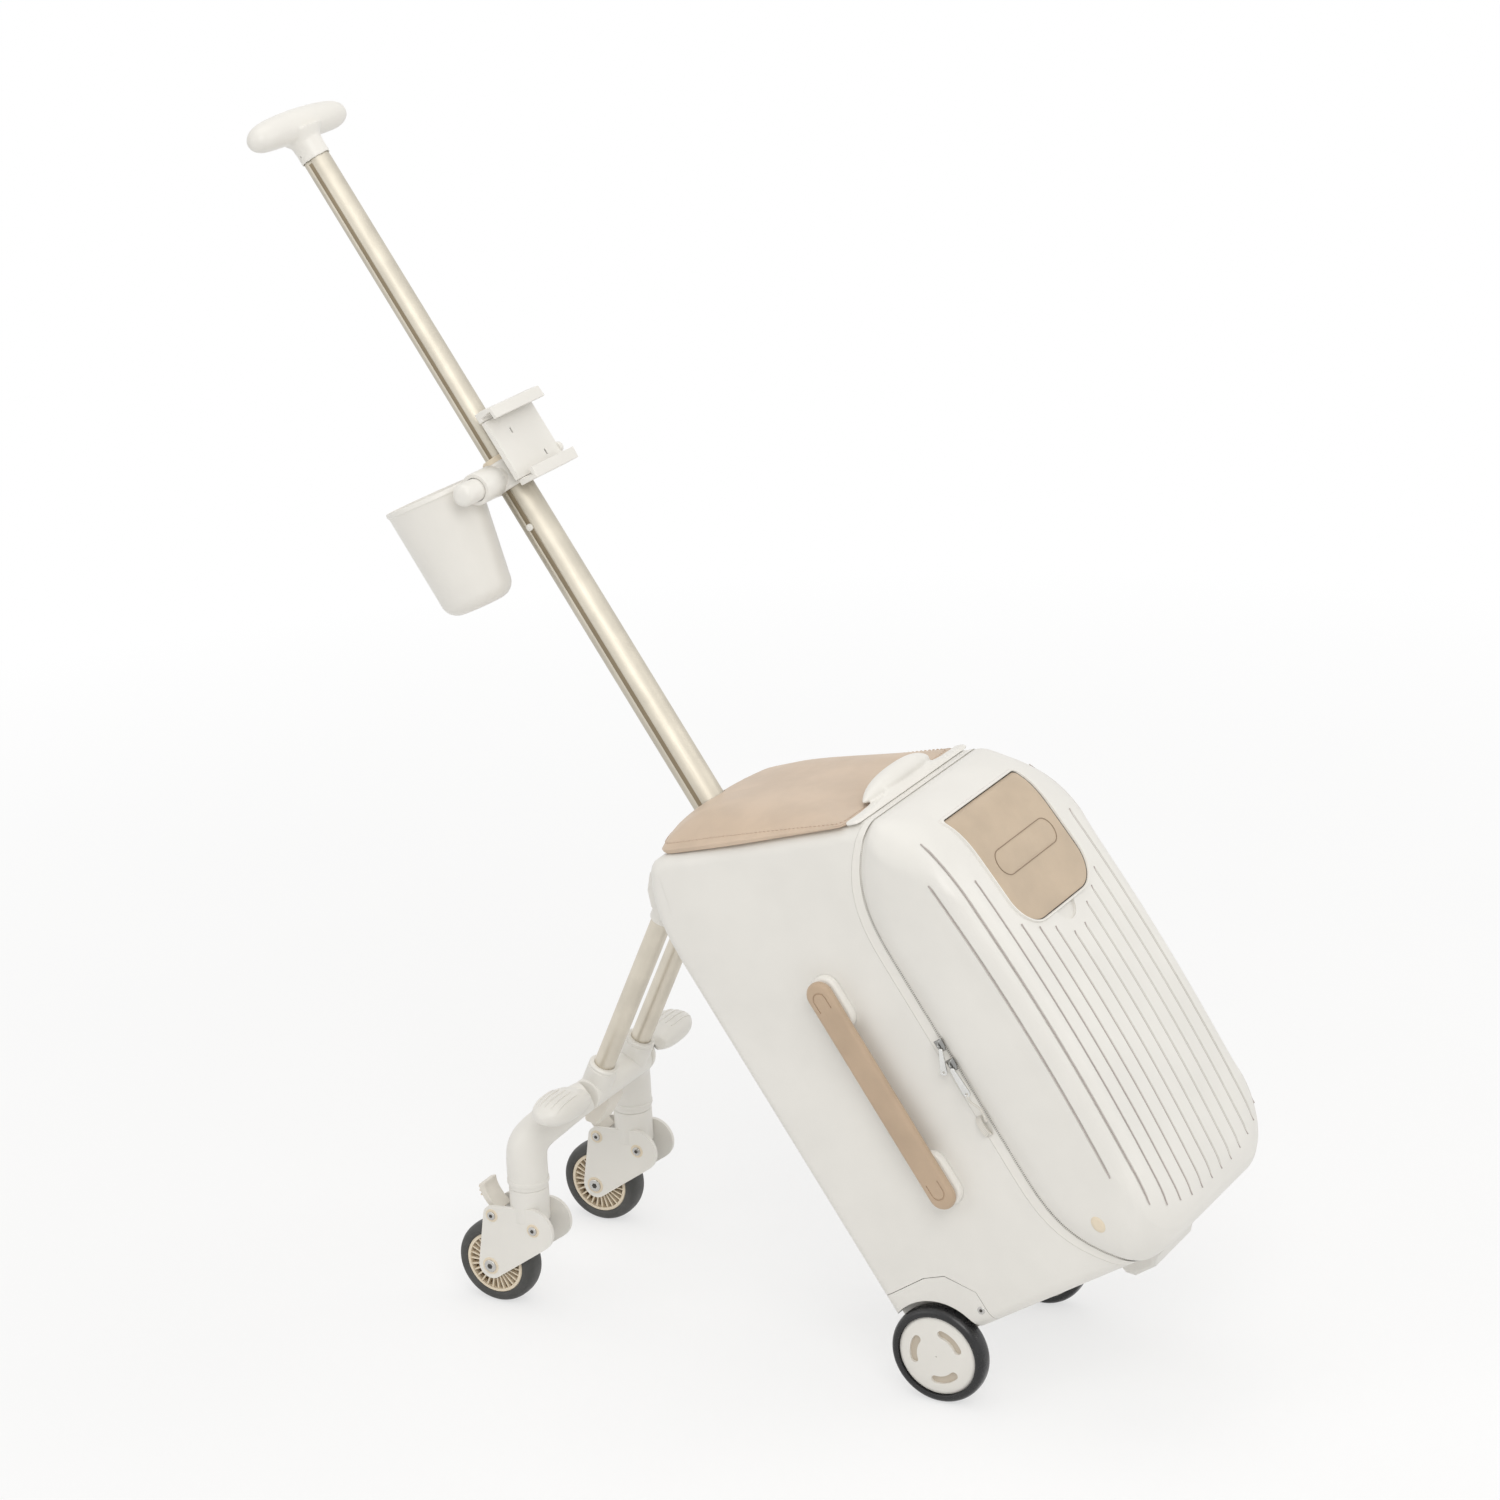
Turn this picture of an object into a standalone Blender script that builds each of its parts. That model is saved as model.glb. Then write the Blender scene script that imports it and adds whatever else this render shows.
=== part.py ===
# Ride-on suitcase with a telescopic pole, a fold-down caster leg and a seat on top.
# Metres, +Z up. The suitcase rides towards -Y, and the rider's right side is -X.
# The origin lies on the floor, below the middle of the whole object's length.
# Sizes along the floor are first measured from the fixed wheels' axle.
# Case pieces are modelled upright in the case's own frame: z runs up the case, and -y towards its lid.
import math

import bmesh
import bpy
from mathutils import Matrix, Vector

# Attitude of the case in its riding pose
CASE_TILT = math.radians(33.6)
MIDDLE_Y = 0.2187
GAP = 0.0003
RUN_GAP = 0.0006

# Case body, measured from the fixed wheels' axis
CASE_HALF_W = 0.104
CASE_BACK = -0.022
CASE_EDGE_R = 0.013
CASE_WALL = 0.003
BOTTOM_BACK_Z = 0.005
BOTTOM_SLOPE = -0.0275
TOP_REF_DEPTH = 0.055
TOP_REF_Z = 0.481
TOP_SLOPE = -0.306
BACK_BEND_Z = 0.405
BACK_TOP_Z = 0.4935
BACK_TOP_DEPTH = 0.008
BACK_CURVE_IN = (0.002, 0.009)
BACK_CURVE_UP = (0.028, 0.055)
TOP_EDGE_IN = 0.008
TOP_EDGE_DROP = 0.009
TOP_EDGE_RUN = 0.018
BOTTOM_CORNER_R = 0.018
FRONT_LIMIT = 0.262

# Joint line between case and lid
ZIP_DEPTH = 0.176
ZIP_MID_Z = 0.215
ZIP_STRAIGHT = 0.100
ZIP_CURVE = 0.115
ZIP_END_DEPTH = 0.228
ZIP_HEIGHTS = (0.030, 0.055, 0.085, 0.115, 0.315, 0.345, 0.375, 0.400)
ZIP_LOW_ENDS = (-0.060, -0.004, 0.012)
ZIP_HIGH_ENDS = (0.415, 0.434, 0.540)
BAND_HALF_W = 0.200
BAND_FRONT = 0.500
RIM_DEPTH = 0.0095
RIM_WALL = 0.006
CHAIN_W = 0.0018
CHAIN_RECESS = 0.0015
CHAIN_T = 0.004

# Lid
LID_WALL = 0.003
LID_BULGE = 0.0155
LID_FRONT = 0.284
LID_FALL = 0.009
LID_FALL_MID_Z = 0.200
LID_FALL_REACH = 0.180
LID_TOP_Z = 0.428
LID_BOTTOM_Z = -0.0005
LID_TAIL_DEPTH = 0.120
LID_STEPS = (0.00, 0.07, 0.22, 0.48, 0.74, 0.87, 0.955, 0.99, 1.00)
LID_WIDTHS = (0.00, 0.42, 0.82, 1.00, 0.98, 0.76, 0.32, -0.28, -1.55)
LID_TOP_DROPS = (0.000, 0.001, 0.004, 0.013, 0.025, 0.035, 0.045, 0.055, 0.078)
LID_LOW_DROPS = (0.000, 0.002, 0.003, 0.002, -0.004, -0.011, -0.019, -0.029, -0.050)
LID_CORNERS = (0.013, 0.019, 0.030, 0.042, 0.050, 0.052, 0.050, 0.044, 0.034)
LID_CORNER_LEAST = 0.006
CROWN_HALF_W = 0.030
CROWN_TOP_Z = 0.290
CROWN_LOW_Z = 0.110
CROWN_CORNER = 0.025
CROWN_RISE = 0.0008
CUT_FRONT = 0.350
FLAP_HALF_W = 0.066
FLAP_TOP_Z = 0.397
FLAP_DROP = 0.112
FLAP_CORNER_R = 0.030
FLAP_T = 0.0035
FLAP_PROUD = 0.0012
FLAP_GAP = 0.0008
FLAP_HINGE_DEPTH = 0.2670
WINDOW_BACK = 0.235
FLAP_BLANK_BACK = 0.245
TRAY_BACK = 0.234
TRAY_FRONT = 0.300
TRAY_WALL = 0.002
TRAY_LIP = 0.004
NOTCH_R = 0.012
NOTCH_SINK = 0.0098
NOTCH_DROP = 0.001

# Seat and grab bar
SEAT_BACK_DEPTH = 0.003
SEAT_CORNER_DEPTH = 0.024
SEAT_HALF_W_BACK = 0.097
SEAT_HALF_W = 0.1035
SEAT_FRONT_DEPTH = 0.216
SEAT_HEIGHT = 0.020
GRAB_DEPTH = 0.206
GRAB_Z = 0.451
GRAB_HALF_L = 0.060
GRAB_R = 0.0125
GRAB_TIP_R = 0.005
GRAB_BASE_HALF_W = 0.036
GRAB_BASE_LEN = 0.018
GRAB_NOTCH_GAP = 0.0025

# Pole
POLE_DEPTH = 0.022
UPPER_R = 0.0122
UPPER_WALL = 0.0013
LOWER_R = 0.0152
LOWER_WALL = 0.0020
GUIDE_WALL = 0.0020
LOWER_TOP_Z = 0.857
LOWER_LEN = 0.440
UPPER_TOP_Z = 1.166
UPPER_LEN = 0.410
GUIDE_TOP_Z = 0.500
GUIDE_FLOOR_Z = 0.150
SEAL_R = 0.0205
SEAL_H = 0.007
COVER_WALL = 0.0025
COVER_CLEAR = 0.004
COVER_LIFT = 0.022
ROD_R = 0.003
ROD_LEN = 0.330
LOCK_Z = 0.792
LOCK_R = 0.0032
LOCK_OUT = 0.0022
LOCK_LEN = 0.0042

# T-handle
T_Z = 1.190
T_HALF_L = 0.067
T_R_MID = 0.0135
T_R_END = 0.0095
T_NECK_R = 0.0155
T_SOCKET = 0.020
BUTTON_R = 0.0085
BUTTON_H = 0.0045
BUTTON_TRAVEL = 0.0030

# Clamp with the cup and the phone holder
CLAMP_Z = 0.842
CLAMP_H = 0.026
CLAMP_R = 0.0205
ARM_R = 0.0100
ARM_REACH = 0.078
CUP_X = -0.040
CUP_DEPTH = -0.0345
CUP_RIM_RISE = 0.002
CUP_LEAN = math.radians(8.8)
CUP_R_TOP = 0.0435
CUP_R_BOTTOM = 0.0330
CUP_H = 0.106
CUP_WALL = 0.0022
CUP_HOOK_W = 0.028
CUP_HOOK_T = 0.0035
PLATE_X0 = -0.026
PLATE_X1 = 0.048
PLATE_DROP = 0.011
PLATE_H = 0.057
PLATE_T = 0.005
JAW_H = 0.009
JAW_REACH = 0.014
JAW_LIP = 0.0035
JAW_TONGUE_T = 0.0022

# Side carry handle
HANDLE_DEPTH = 0.1015
HANDLE_Z0 = 0.126
HANDLE_Z1 = 0.323
HANDLE_R = 0.0105
HANDLE_RISE = 0.0090
HANDLE_T = 0.0085
MOUNT_R = 0.0135
MOUNT_LEN = 0.026
MOUNT_H = 0.0075

# Zip sliders
SLIDER_Z = (0.238, 0.219)
SLIDER_W = 0.0085
SLIDER_L = 0.011
SLIDER_T = 0.0042
SLIDER_LIFT = 0.0048
PULL_L = (0.018, 0.024)
PULL_W = 0.0055
PULL_T = 0.0016
PULL_LIFT = 0.0004
PULL_SIDE = (-0.0085, 0.0)

# Fixed wheels
WHEEL_R = 0.045
WHEEL_W = 0.0185
WHEEL_OUT = 0.110
WHEEL_CAP_R = 0.037
WHEEL_BORE_R = 0.0045
ARCH_GAP = 0.005
HOUSING_IN = 0.058
HOUSING_FRONT = 0.068
HOUSING_TOP_Z = 0.065
BOSS_R = 0.013
AXLE_HEAD_R = 0.0075
AXLE_HEAD_T = 0.0020

# Foot
FOOT_HALF_W = 0.040
FOOT_DEPTH0 = 0.163
FOOT_DEPTH1 = 0.203
FOOT_H = 0.023

# Leg, with its pivot in the case frame and its foot in world coordinates
PIVOT_DEPTH = -0.0400
PIVOT_Z = 0.456
LEG_FOOT_Y = 0.374
LEG_FOOT_Z = 0.212
LEG_X = 0.032
LEG_R = 0.0095
LEG_WALL = 0.0015
STUB_R = 0.0118
STUB_LEN = 0.030
PIN_R = 0.0040
HOUSE_HALF_W = 0.050
HOUSE_EAR = 0.0055
HOUSE_PLATE = 0.0035
HOUSE_BACK = -0.055
HOUSE_Z0 = 0.438
HOUSE_Z1 = 0.484
COLLAR_R = 0.0138
COLLAR_UP = 0.014
BAR_R = 0.0145
BAR_HALF_L = 0.047
BAR_DROP = 0.017
HOOK_HALF_W = 0.013
HOOK_T = 0.009
HOOK_DROP = 0.046
HOOK_BACK = 0.016

# Caster arms, pedals and casters
CASTER_X = 0.0915
SWIVEL_Y = 0.4195
TRAIL = 0.036
CASTER_R = 0.0394
CASTER_W = 0.0245
CASTER_HUB_R = 0.0290
SLEEVE_R = 0.0185
SLEEVE_BOTTOM = 0.1205
ELBOW_Z = 0.150
ARM_TUBE_R = 0.0165
STEM_R = 0.0055
STEM_TOP = 0.144
PEDAL_X = 0.093
PEDAL_Y = 0.379
PEDAL_Z = 0.2055
PEDAL_HALF_L = 0.033
PEDAL_HALF_W = 0.019
PEDAL_HALF_H = 0.0125
PEDAL_HINGE_X = 0.0615
PEDAL_CLEAR = 0.0012
PEDAL_FOLD = 75
PEDAL_STEP = 15
FORK_IN = 0.0138
FORK_T = 0.0035
DRUM_Y = -0.0125
DRUM_Z = 0.084
DRUM_R = 0.0205
REAR_Y = 0.031
REAR_Z = 0.091
REAR_R = 0.0090
TOE_R = 0.0125
FORK_HEAD_R = 0.0180
FORK_HEAD_Z = 0.098
CASTER_AXLE_R = 0.0040
BRAKE_HALF_W = 0.0105
BRAKE_PIN_R = 0.0026
BRAKE_PIN_UP = 0.0005
ROUND = 16
FINE = 24


def remove_everything():
    for item in list(bpy.data.objects):
        bpy.data.objects.remove(item, do_unlink=True)


def material(name, colour, roughness, metallic=0.0):
    found = bpy.data.materials.get(name)
    if found:
        return found
    made = bpy.data.materials.new(name)
    made.use_nodes = True
    shader = made.node_tree.nodes["Principled BSDF"]
    shader.inputs["Base Color"].default_value = (*colour, 1.0)
    shader.inputs["Roughness"].default_value = roughness
    shader.inputs["Metallic"].default_value = metallic
    made.diffuse_color = (*colour, 1.0)
    return made


def shell_white(name):
    return material(name, (0.74, 0.71, 0.66), 0.45)


def trim_white(name):
    return material(name, (0.80, 0.78, 0.73), 0.40)


def tan(name):
    return material(name, (0.55, 0.41, 0.30), 0.50)


def champagne(name):
    return material(name, (0.62, 0.52, 0.38), 0.30, 1.0)


def dark_rubber(name):
    return material(name, (0.06, 0.06, 0.06), 0.60)


def cream(name):
    return material(name, (0.80, 0.70, 0.55), 0.40)


def steel(name):
    return material(name, (0.62, 0.62, 0.60), 0.25, 1.0)


def hang(item, hinge):
    # Parents a piece to a hinge that stands in the same frame, and keeps its place.
    item.parent = hinge
    item.data.transform(Matrix.Translation(-hinge.location))


def empty(name, location=(0, 0, 0), tilt=0.0, parent=None):
    made = bpy.data.objects.new(name, None)
    bpy.context.scene.collection.objects.link(made)
    made.location = location
    made.rotation_euler.x = tilt
    made.parent = parent
    return made


def add(name, bm, mat=None, parent=None, location=(0, 0, 0), tilt=0.0, smooth=35):
    bmesh.ops.recalc_face_normals(bm, faces=bm.faces)
    mesh = bpy.data.meshes.new(name)
    bm.to_mesh(mesh)
    bm.free()
    if mat:
        mesh.materials.append(mat)
    if smooth:
        mesh.shade_smooth()
        mesh.set_sharp_from_angle(angle=math.radians(smooth))
    made = bpy.data.objects.new(name, mesh)
    bpy.context.scene.collection.objects.link(made)
    made.location = location
    made.rotation_euler.x = tilt
    made.parent = parent
    return made


def tool(name, bm, parent=None, location=(0, 0, 0), tilt=0.0):
    made = add(name, bm, None, parent, location, tilt, 0)
    made.hide_render = True
    made.display_type = "WIRE"
    return made


def boolean(target, other, operation):
    change = target.modifiers.new(other.name, "BOOLEAN")
    change.operation = operation
    change.solver = "EXACT"
    change.object = other
    return target


def cut(target, *others):
    for other in others:
        boolean(target, other, "DIFFERENCE")
    return target


def unite(target, *others):
    for other in others:
        boolean(target, other, "UNION")
    return target


def keep(target, other):
    return boolean(target, other, "INTERSECT")


def bevel(target, width, segments=2, angle=40):
    change = target.modifiers.new("edges", "BEVEL")
    change.width = width
    change.segments = segments
    change.limit_method = "ANGLE"
    change.angle_limit = math.radians(angle)
    return target


def loft(rings, closed=False):
    bm = bmesh.new()
    loops = [[bm.verts.new(p) for p in ring] for ring in rings]
    pairs = list(zip(loops, loops[1:]))
    if closed:
        pairs.append((loops[-1], loops[0]))
    count = len(loops[0])
    for low, high in pairs:
        for i in range(count):
            j = (i + 1) % count
            bm.faces.new((low[i], low[j], high[j], high[i]))
    if not closed:
        bm.faces.new(list(reversed(loops[0])))
        bm.faces.new(loops[-1])
    return bm


def box(x0, x1, y0, y1, z0, z1):
    corners = [(x0, y0), (x1, y0), (x1, y1), (x0, y1)]
    return loft([[(x, y, z) for x, y in corners] for z in (z0, z1)])


def case_box(x0, x1, depth0, depth1, z0, z1):
    return box(x0, x1, -depth1, -depth0, z0, z1)


def prism_x(outline, x0, x1):
    return loft([[(x, y, z) for y, z in outline] for x in (x0, x1)])


def prism_y(outline, y0, y1):
    return loft([[(x, y, z) for x, z in outline] for y in (y0, y1)])


def circle(r, count, x=0.0, y=0.0, phase=0.0):
    steps = [phase + 2 * math.pi * i / count for i in range(count)]
    return [(x + r * math.cos(a), y + r * math.sin(a)) for a in steps]


def cylinder(r, z0, z1, count=ROUND, x=0.0, y=0.0):
    return loft([[(px, py, z) for px, py in circle(r, count, x, y)] for z in (z0, z1)])


def cylinder_x(r, x0, x1, count=ROUND, y=0.0, z=0.0):
    return loft([[(x, py, pz) for py, pz in circle(r, count, y, z)] for x in (x0, x1)])


def turned(profile, count=ROUND, along="z"):
    # A profile of (radius, height) points, closed on itself, makes a ring with a bore.
    def place(r, h, a):
        if along == "x":
            return (h, r * math.cos(a), r * math.sin(a))
        return (r * math.cos(a), r * math.sin(a), h)

    rings = []
    for r, h in profile:
        rings.append([place(r, h, 2 * math.pi * i / count) for i in range(count)])
    return loft(rings, closed=True)


def spun(profile, count=ROUND, x=0.0, y=0.0):
    # A solid turned about z from (radius, height) points, with flat ends.
    return loft([[(px, py, h) for px, py in circle(r, count, x, y)] for r, h in profile])


def tube(r, wall, z0, z1, count=ROUND):
    return turned([(r, z0), (r, z1), (r - wall, z1), (r - wall, z0)], count)


def sweep(points, radii, count=ROUND):
    path = [Vector(p) for p in points]
    tangents = []
    for i, p in enumerate(path):
        before = path[max(i - 1, 0)]
        after = path[min(i + 1, len(path) - 1)]
        step = (after - p).normalized() + (p - before).normalized()
        tangents.append(step.normalized())
    side = tangents[0].cross(Vector((0.3, 1.0, 0.2))).normalized()
    rings = []
    for p, t, r in zip(path, tangents, radii):
        side = (side - t * side.dot(t)).normalized()
        other = t.cross(side)
        ring = []
        for c, s in circle(1.0, count):
            ring.append(p + r * (c * side + s * other))
        rings.append(ring)
    return loft(rings)


def hull_outline(circles, step=30):
    # Convex outline round several circles (y, z, radius).
    points = []
    for y, z, r in circles:
        for k in range(0, 360, step):
            a = math.radians(k)
            points.append((y + r * math.cos(a), z + r * math.sin(a)))
    points.sort()

    def half(items):
        chain = []
        for p in items:
            while len(chain) > 1 and turn(chain[-2], chain[-1], p) <= 1e-12:
                chain.pop()
            chain.append(p)
        return chain[:-1]

    def turn(a, b, c):
        return (b[0] - a[0]) * (c[1] - a[1]) - (b[1] - a[1]) * (c[0] - a[0])

    return half(points) + half(list(reversed(points)))


def inset(outline, amount):
    # Moves each edge of a convex, counter-clockwise outline inwards.
    if amount == 0:
        return list(outline)
    made = []
    count = len(outline)
    for i in range(count):
        a = Vector(outline[i - 1])
        b = Vector(outline[i])
        c = Vector(outline[(i + 1) % count])
        d0 = (b - a).normalized()
        d1 = (c - b).normalized()
        n0 = Vector((-d0.y, d0.x))
        n1 = Vector((-d1.y, d1.x))
        middle = (n0 + n1).normalized()
        reach = amount / max(0.3, middle.dot(n0))
        made.append(tuple(b + middle * reach))
    return made


def case_point(x, depth, z):
    # World position of a point given in the case frame.
    y = -depth * math.cos(CASE_TILT) + z * math.sin(CASE_TILT)
    up = WHEEL_R + depth * math.sin(CASE_TILT) + z * math.cos(CASE_TILT)
    return Vector((x, y, up))


def top_z(depth):
    return TOP_REF_Z + TOP_SLOPE * (depth - TOP_REF_DEPTH)


def bottom_z(depth):
    return BOTTOM_BACK_Z + BOTTOM_SLOPE * depth


def zip_depth(z):
    beyond = (abs(z - ZIP_MID_Z) - ZIP_STRAIGHT) / ZIP_CURVE
    return ZIP_DEPTH + (ZIP_END_DEPTH - ZIP_DEPTH) * min(max(beyond, 0.0), 1.0) ** 3


def lid_front(z):
    return LID_FRONT - LID_FALL * ((z - LID_FALL_MID_Z) / LID_FALL_REACH) ** 2


def side_outline():
    # Side view of the case body as (y, z), counter-clockwise seen from +X.
    back = [
        (CASE_BACK, BACK_BEND_Z),
        (CASE_BACK + BACK_CURVE_IN[0], BACK_BEND_Z + BACK_CURVE_UP[0]),
        (CASE_BACK + BACK_CURVE_IN[1], BACK_BEND_Z + BACK_CURVE_UP[1]),
        (BACK_TOP_DEPTH - TOP_EDGE_IN, BACK_TOP_Z - TOP_EDGE_DROP),
        (BACK_TOP_DEPTH, BACK_TOP_Z),
    ]
    corner = BOTTOM_CORNER_R
    top_start = BACK_TOP_DEPTH + TOP_EDGE_RUN
    points = [
        (FRONT_LIMIT, bottom_z(FRONT_LIMIT)),
        (FRONT_LIMIT, top_z(FRONT_LIMIT)),
        (top_start, top_z(top_start)),
    ]
    points += list(reversed(back))
    points += [
        (CASE_BACK, bottom_z(CASE_BACK) + corner),
        (CASE_BACK + 0.3 * corner, bottom_z(CASE_BACK) + 0.3 * corner),
        (CASE_BACK + corner, bottom_z(CASE_BACK)),
    ]
    return [(-depth, z) for depth, z in reversed(points)]


def body_block(shrink, half_w, edge):
    # Rounded block of the case body, drawn in by shrink.
    outline = inset(side_outline(), shrink)
    rings = []
    for k in (0, 30, 60, 90):
        a = math.radians(k)
        x = half_w - edge * (1 - math.sin(a))
        rings.append((x, inset(outline, edge * (1 - math.cos(a)))))
    ordered = [(-x, o) for x, o in reversed(rings)] + rings
    return loft([[(x, y, z) for y, z in o] for x, o in ordered])


def zip_band(back, front):
    # Slab that follows the zip line from one offset to another; front None runs on forward.
    heights = [*ZIP_LOW_ENDS, *ZIP_HEIGHTS, *ZIP_HIGH_ENDS]
    low = [(-(zip_depth(z) + back), z) for z in heights]
    if front is None:
        high = [(-BAND_FRONT, heights[-1]), (-BAND_FRONT, heights[0])]
    else:
        high = [(-(zip_depth(z) + front), z) for z in reversed(heights)]
    return prism_x(low + high, -BAND_HALF_W, BAND_HALF_W)


def lid_loop(half_w, top, bottom, radius):
    # Rounded rectangle in x and z with the same number of points whatever its size.
    corner_steps = 4
    end_cuts = (0.5,)
    rim_low = LID_BOTTOM_Z + CASE_EDGE_R
    rim_high = LID_TOP_Z - CASE_EDGE_R
    side_cuts = [(z - rim_low) / (rim_high - rim_low) for z in ZIP_HEIGHTS]
    cx = half_w - radius
    z_high = top - radius
    z_low = bottom + radius
    loop = []
    corners = ((cx, z_high, 0), (-cx, z_high, 90), (-cx, z_low, 180), (cx, z_low, 270))
    for centre_x, centre_z, start in corners:
        for k in range(corner_steps + 1):
            a = math.radians(start + 90 * k / corner_steps)
            loop.append((centre_x + radius * math.cos(a), centre_z + radius * math.sin(a)))
        last = loop[-1]
        if start in (0, 180):
            loop += [(last[0] * (1 - 2 * f), last[1]) for f in end_cuts]
        else:
            cuts = side_cuts if start == 270 else list(reversed(side_cuts))
            loop += [(last[0], z_low + (z_high - z_low) * f) for f in cuts]
    return loop


def lid_rings(shrink):
    # Rings of the lid from its rim to its front, drawn in by shrink.
    table = list(zip(LID_STEPS, LID_WIDTHS, LID_TOP_DROPS, LID_LOW_DROPS, LID_CORNERS))
    if shrink > 0:
        table = table[::2]
    rim = lid_loop(CASE_HALF_W, LID_TOP_Z, LID_BOTTOM_Z, CASE_EDGE_R)
    rings = []
    for f, wide, top_drop, low_drop, radius in table:
        loop = lid_loop(
            CASE_HALF_W + wide * LID_BULGE - shrink,
            LID_TOP_Z - top_drop - shrink,
            LID_BOTTOM_Z - low_drop + shrink,
            max(radius - shrink, LID_CORNER_LEAST),
        )
        ring = []
        for (x, z), (rim_x, rim_z) in zip(loop, rim):
            low = zip_depth(rim_z)
            high = lid_front(z) - shrink
            ring.append((x, -(low + (high - low) * f), z))
        rings.append(ring)
    crown = []
    for x, z in lid_loop(CROWN_HALF_W, CROWN_TOP_Z, CROWN_LOW_Z, CROWN_CORNER):
        crown.append((x, -(lid_front(z) - shrink + CROWN_RISE), z))
    rings.append(crown)
    return rings


def lid_block(shrink):
    # Solid lid that runs back past the zip line, to be cut along it.
    rings = lid_rings(shrink)
    rings.insert(0, [(x, -LID_TAIL_DEPTH, z) for x, y, z in rings[0]])
    block = loft(rings)
    bmesh.ops.triangulate(block, faces=block.faces)
    return block


def flap_outline(grow):
    half = FLAP_HALF_W + grow
    top = FLAP_TOP_Z + grow
    bottom = FLAP_TOP_Z - FLAP_DROP - grow
    r = FLAP_CORNER_R + grow
    points = [(half, top), (-half, top)]
    for centre, start in ((-half + r, 180), (half - r, 270)):
        for k in range(0, 91, 15):
            a = math.radians(start + k)
            points.append((centre + r * math.cos(a), bottom + r + r * math.sin(a)))
    return points


def make_case(frame):
    white = shell_white("case_white")
    shell = add("case_shell", body_block(0, CASE_HALF_W, CASE_EDGE_R), white, frame)
    room = body_block(CASE_WALL, CASE_HALF_W - CASE_WALL, CASE_EDGE_R - CASE_WALL)
    inside = tool("case_inside", room, frame)
    front = tool("case_front_cut", zip_band(-RIM_DEPTH - CHAIN_W - GAP, None), frame)
    cut(shell, inside, front)
    for side, sign in (("right", -1), ("left", 1)):
        pocket = tool("case_corner_" + side, corner_block(sign, GAP), frame)
        cut(shell, pocket)
    seal_r = LOWER_R + GUIDE_WALL + RUN_GAP + GAP
    hole = tool("case_pole_hole", cylinder(seal_r, TOP_REF_Z - 0.03, 0.60), frame, (0, -POLE_DEPTH, 0))
    cut(shell, hole)

    rim = add("case_rim", body_block(0, CASE_HALF_W, CASE_EDGE_R), trim_white("rim_white"), frame)
    slab = tool("rim_slab", zip_band(-RIM_DEPTH - CHAIN_W, -CHAIN_W - GAP), frame)
    rim_room = body_block(RIM_WALL, CASE_HALF_W - RIM_WALL, CASE_EDGE_R - RIM_WALL)
    rim_inside = tool("rim_inside", rim_room, frame)
    keep(rim, slab)
    cut(rim, rim_inside)
    return shell, rim


def corner_block(sign, grow):
    x0 = sign * (HOUSING_IN - grow)
    x1 = sign * (CASE_HALF_W + 0.02)
    outline = [
        (-CASE_BACK + 0.02, BOTTOM_BACK_Z - 0.02),
        (-(HOUSING_FRONT + grow), BOTTOM_BACK_Z - 0.02),
        (-(HOUSING_FRONT + grow), HOUSING_TOP_Z - 0.030),
        (-(HOUSING_FRONT - 0.020 + grow), HOUSING_TOP_Z - 0.006 + grow),
        (-(HOUSING_FRONT - 0.040), HOUSING_TOP_Z + grow),
        (-CASE_BACK + 0.02, HOUSING_TOP_Z + grow),
    ]
    return prism_x(outline, x0, x1)


def make_wheel_housing(side, sign, frame):
    name = "wheel_housing_" + side
    housing = add(name, corner_block(sign, 0), shell_white("housing_white_" + side), frame)
    shape = tool(name + "_skin", body_block(0, CASE_HALF_W, CASE_EDGE_R), frame)
    keep(housing, shape)
    wheel_in = WHEEL_OUT - WHEEL_W
    boss_out = wheel_in - 0.0012
    boss = tool(name + "_boss", cylinder_x(BOSS_R, sign * HOUSING_IN, sign * boss_out), frame)
    arch_r = WHEEL_R + ARCH_GAP
    arch_in = wheel_in - 0.004
    arch = tool(name + "_arch", cylinder_x(arch_r, sign * arch_in, sign * (CASE_HALF_W + 0.02), FINE), frame)
    bore = tool(name + "_bore", cylinder_x(WHEEL_BORE_R, sign * 0.04, sign * 0.12, 16), frame)
    hollow_x = (sign * (HOUSING_IN - 0.01), sign * (arch_in - 0.004))
    depths = (BOSS_R + 0.005, HOUSING_FRONT - 0.004)
    heights = (0.012, HOUSING_TOP_Z - 0.030)
    room = case_box(min(hollow_x), max(hollow_x), *depths, *heights)
    hollow = tool(name + "_hollow", room, frame)
    cut(housing, arch)
    unite(housing, boss)
    cut(housing, hollow, bore)
    return housing


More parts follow.
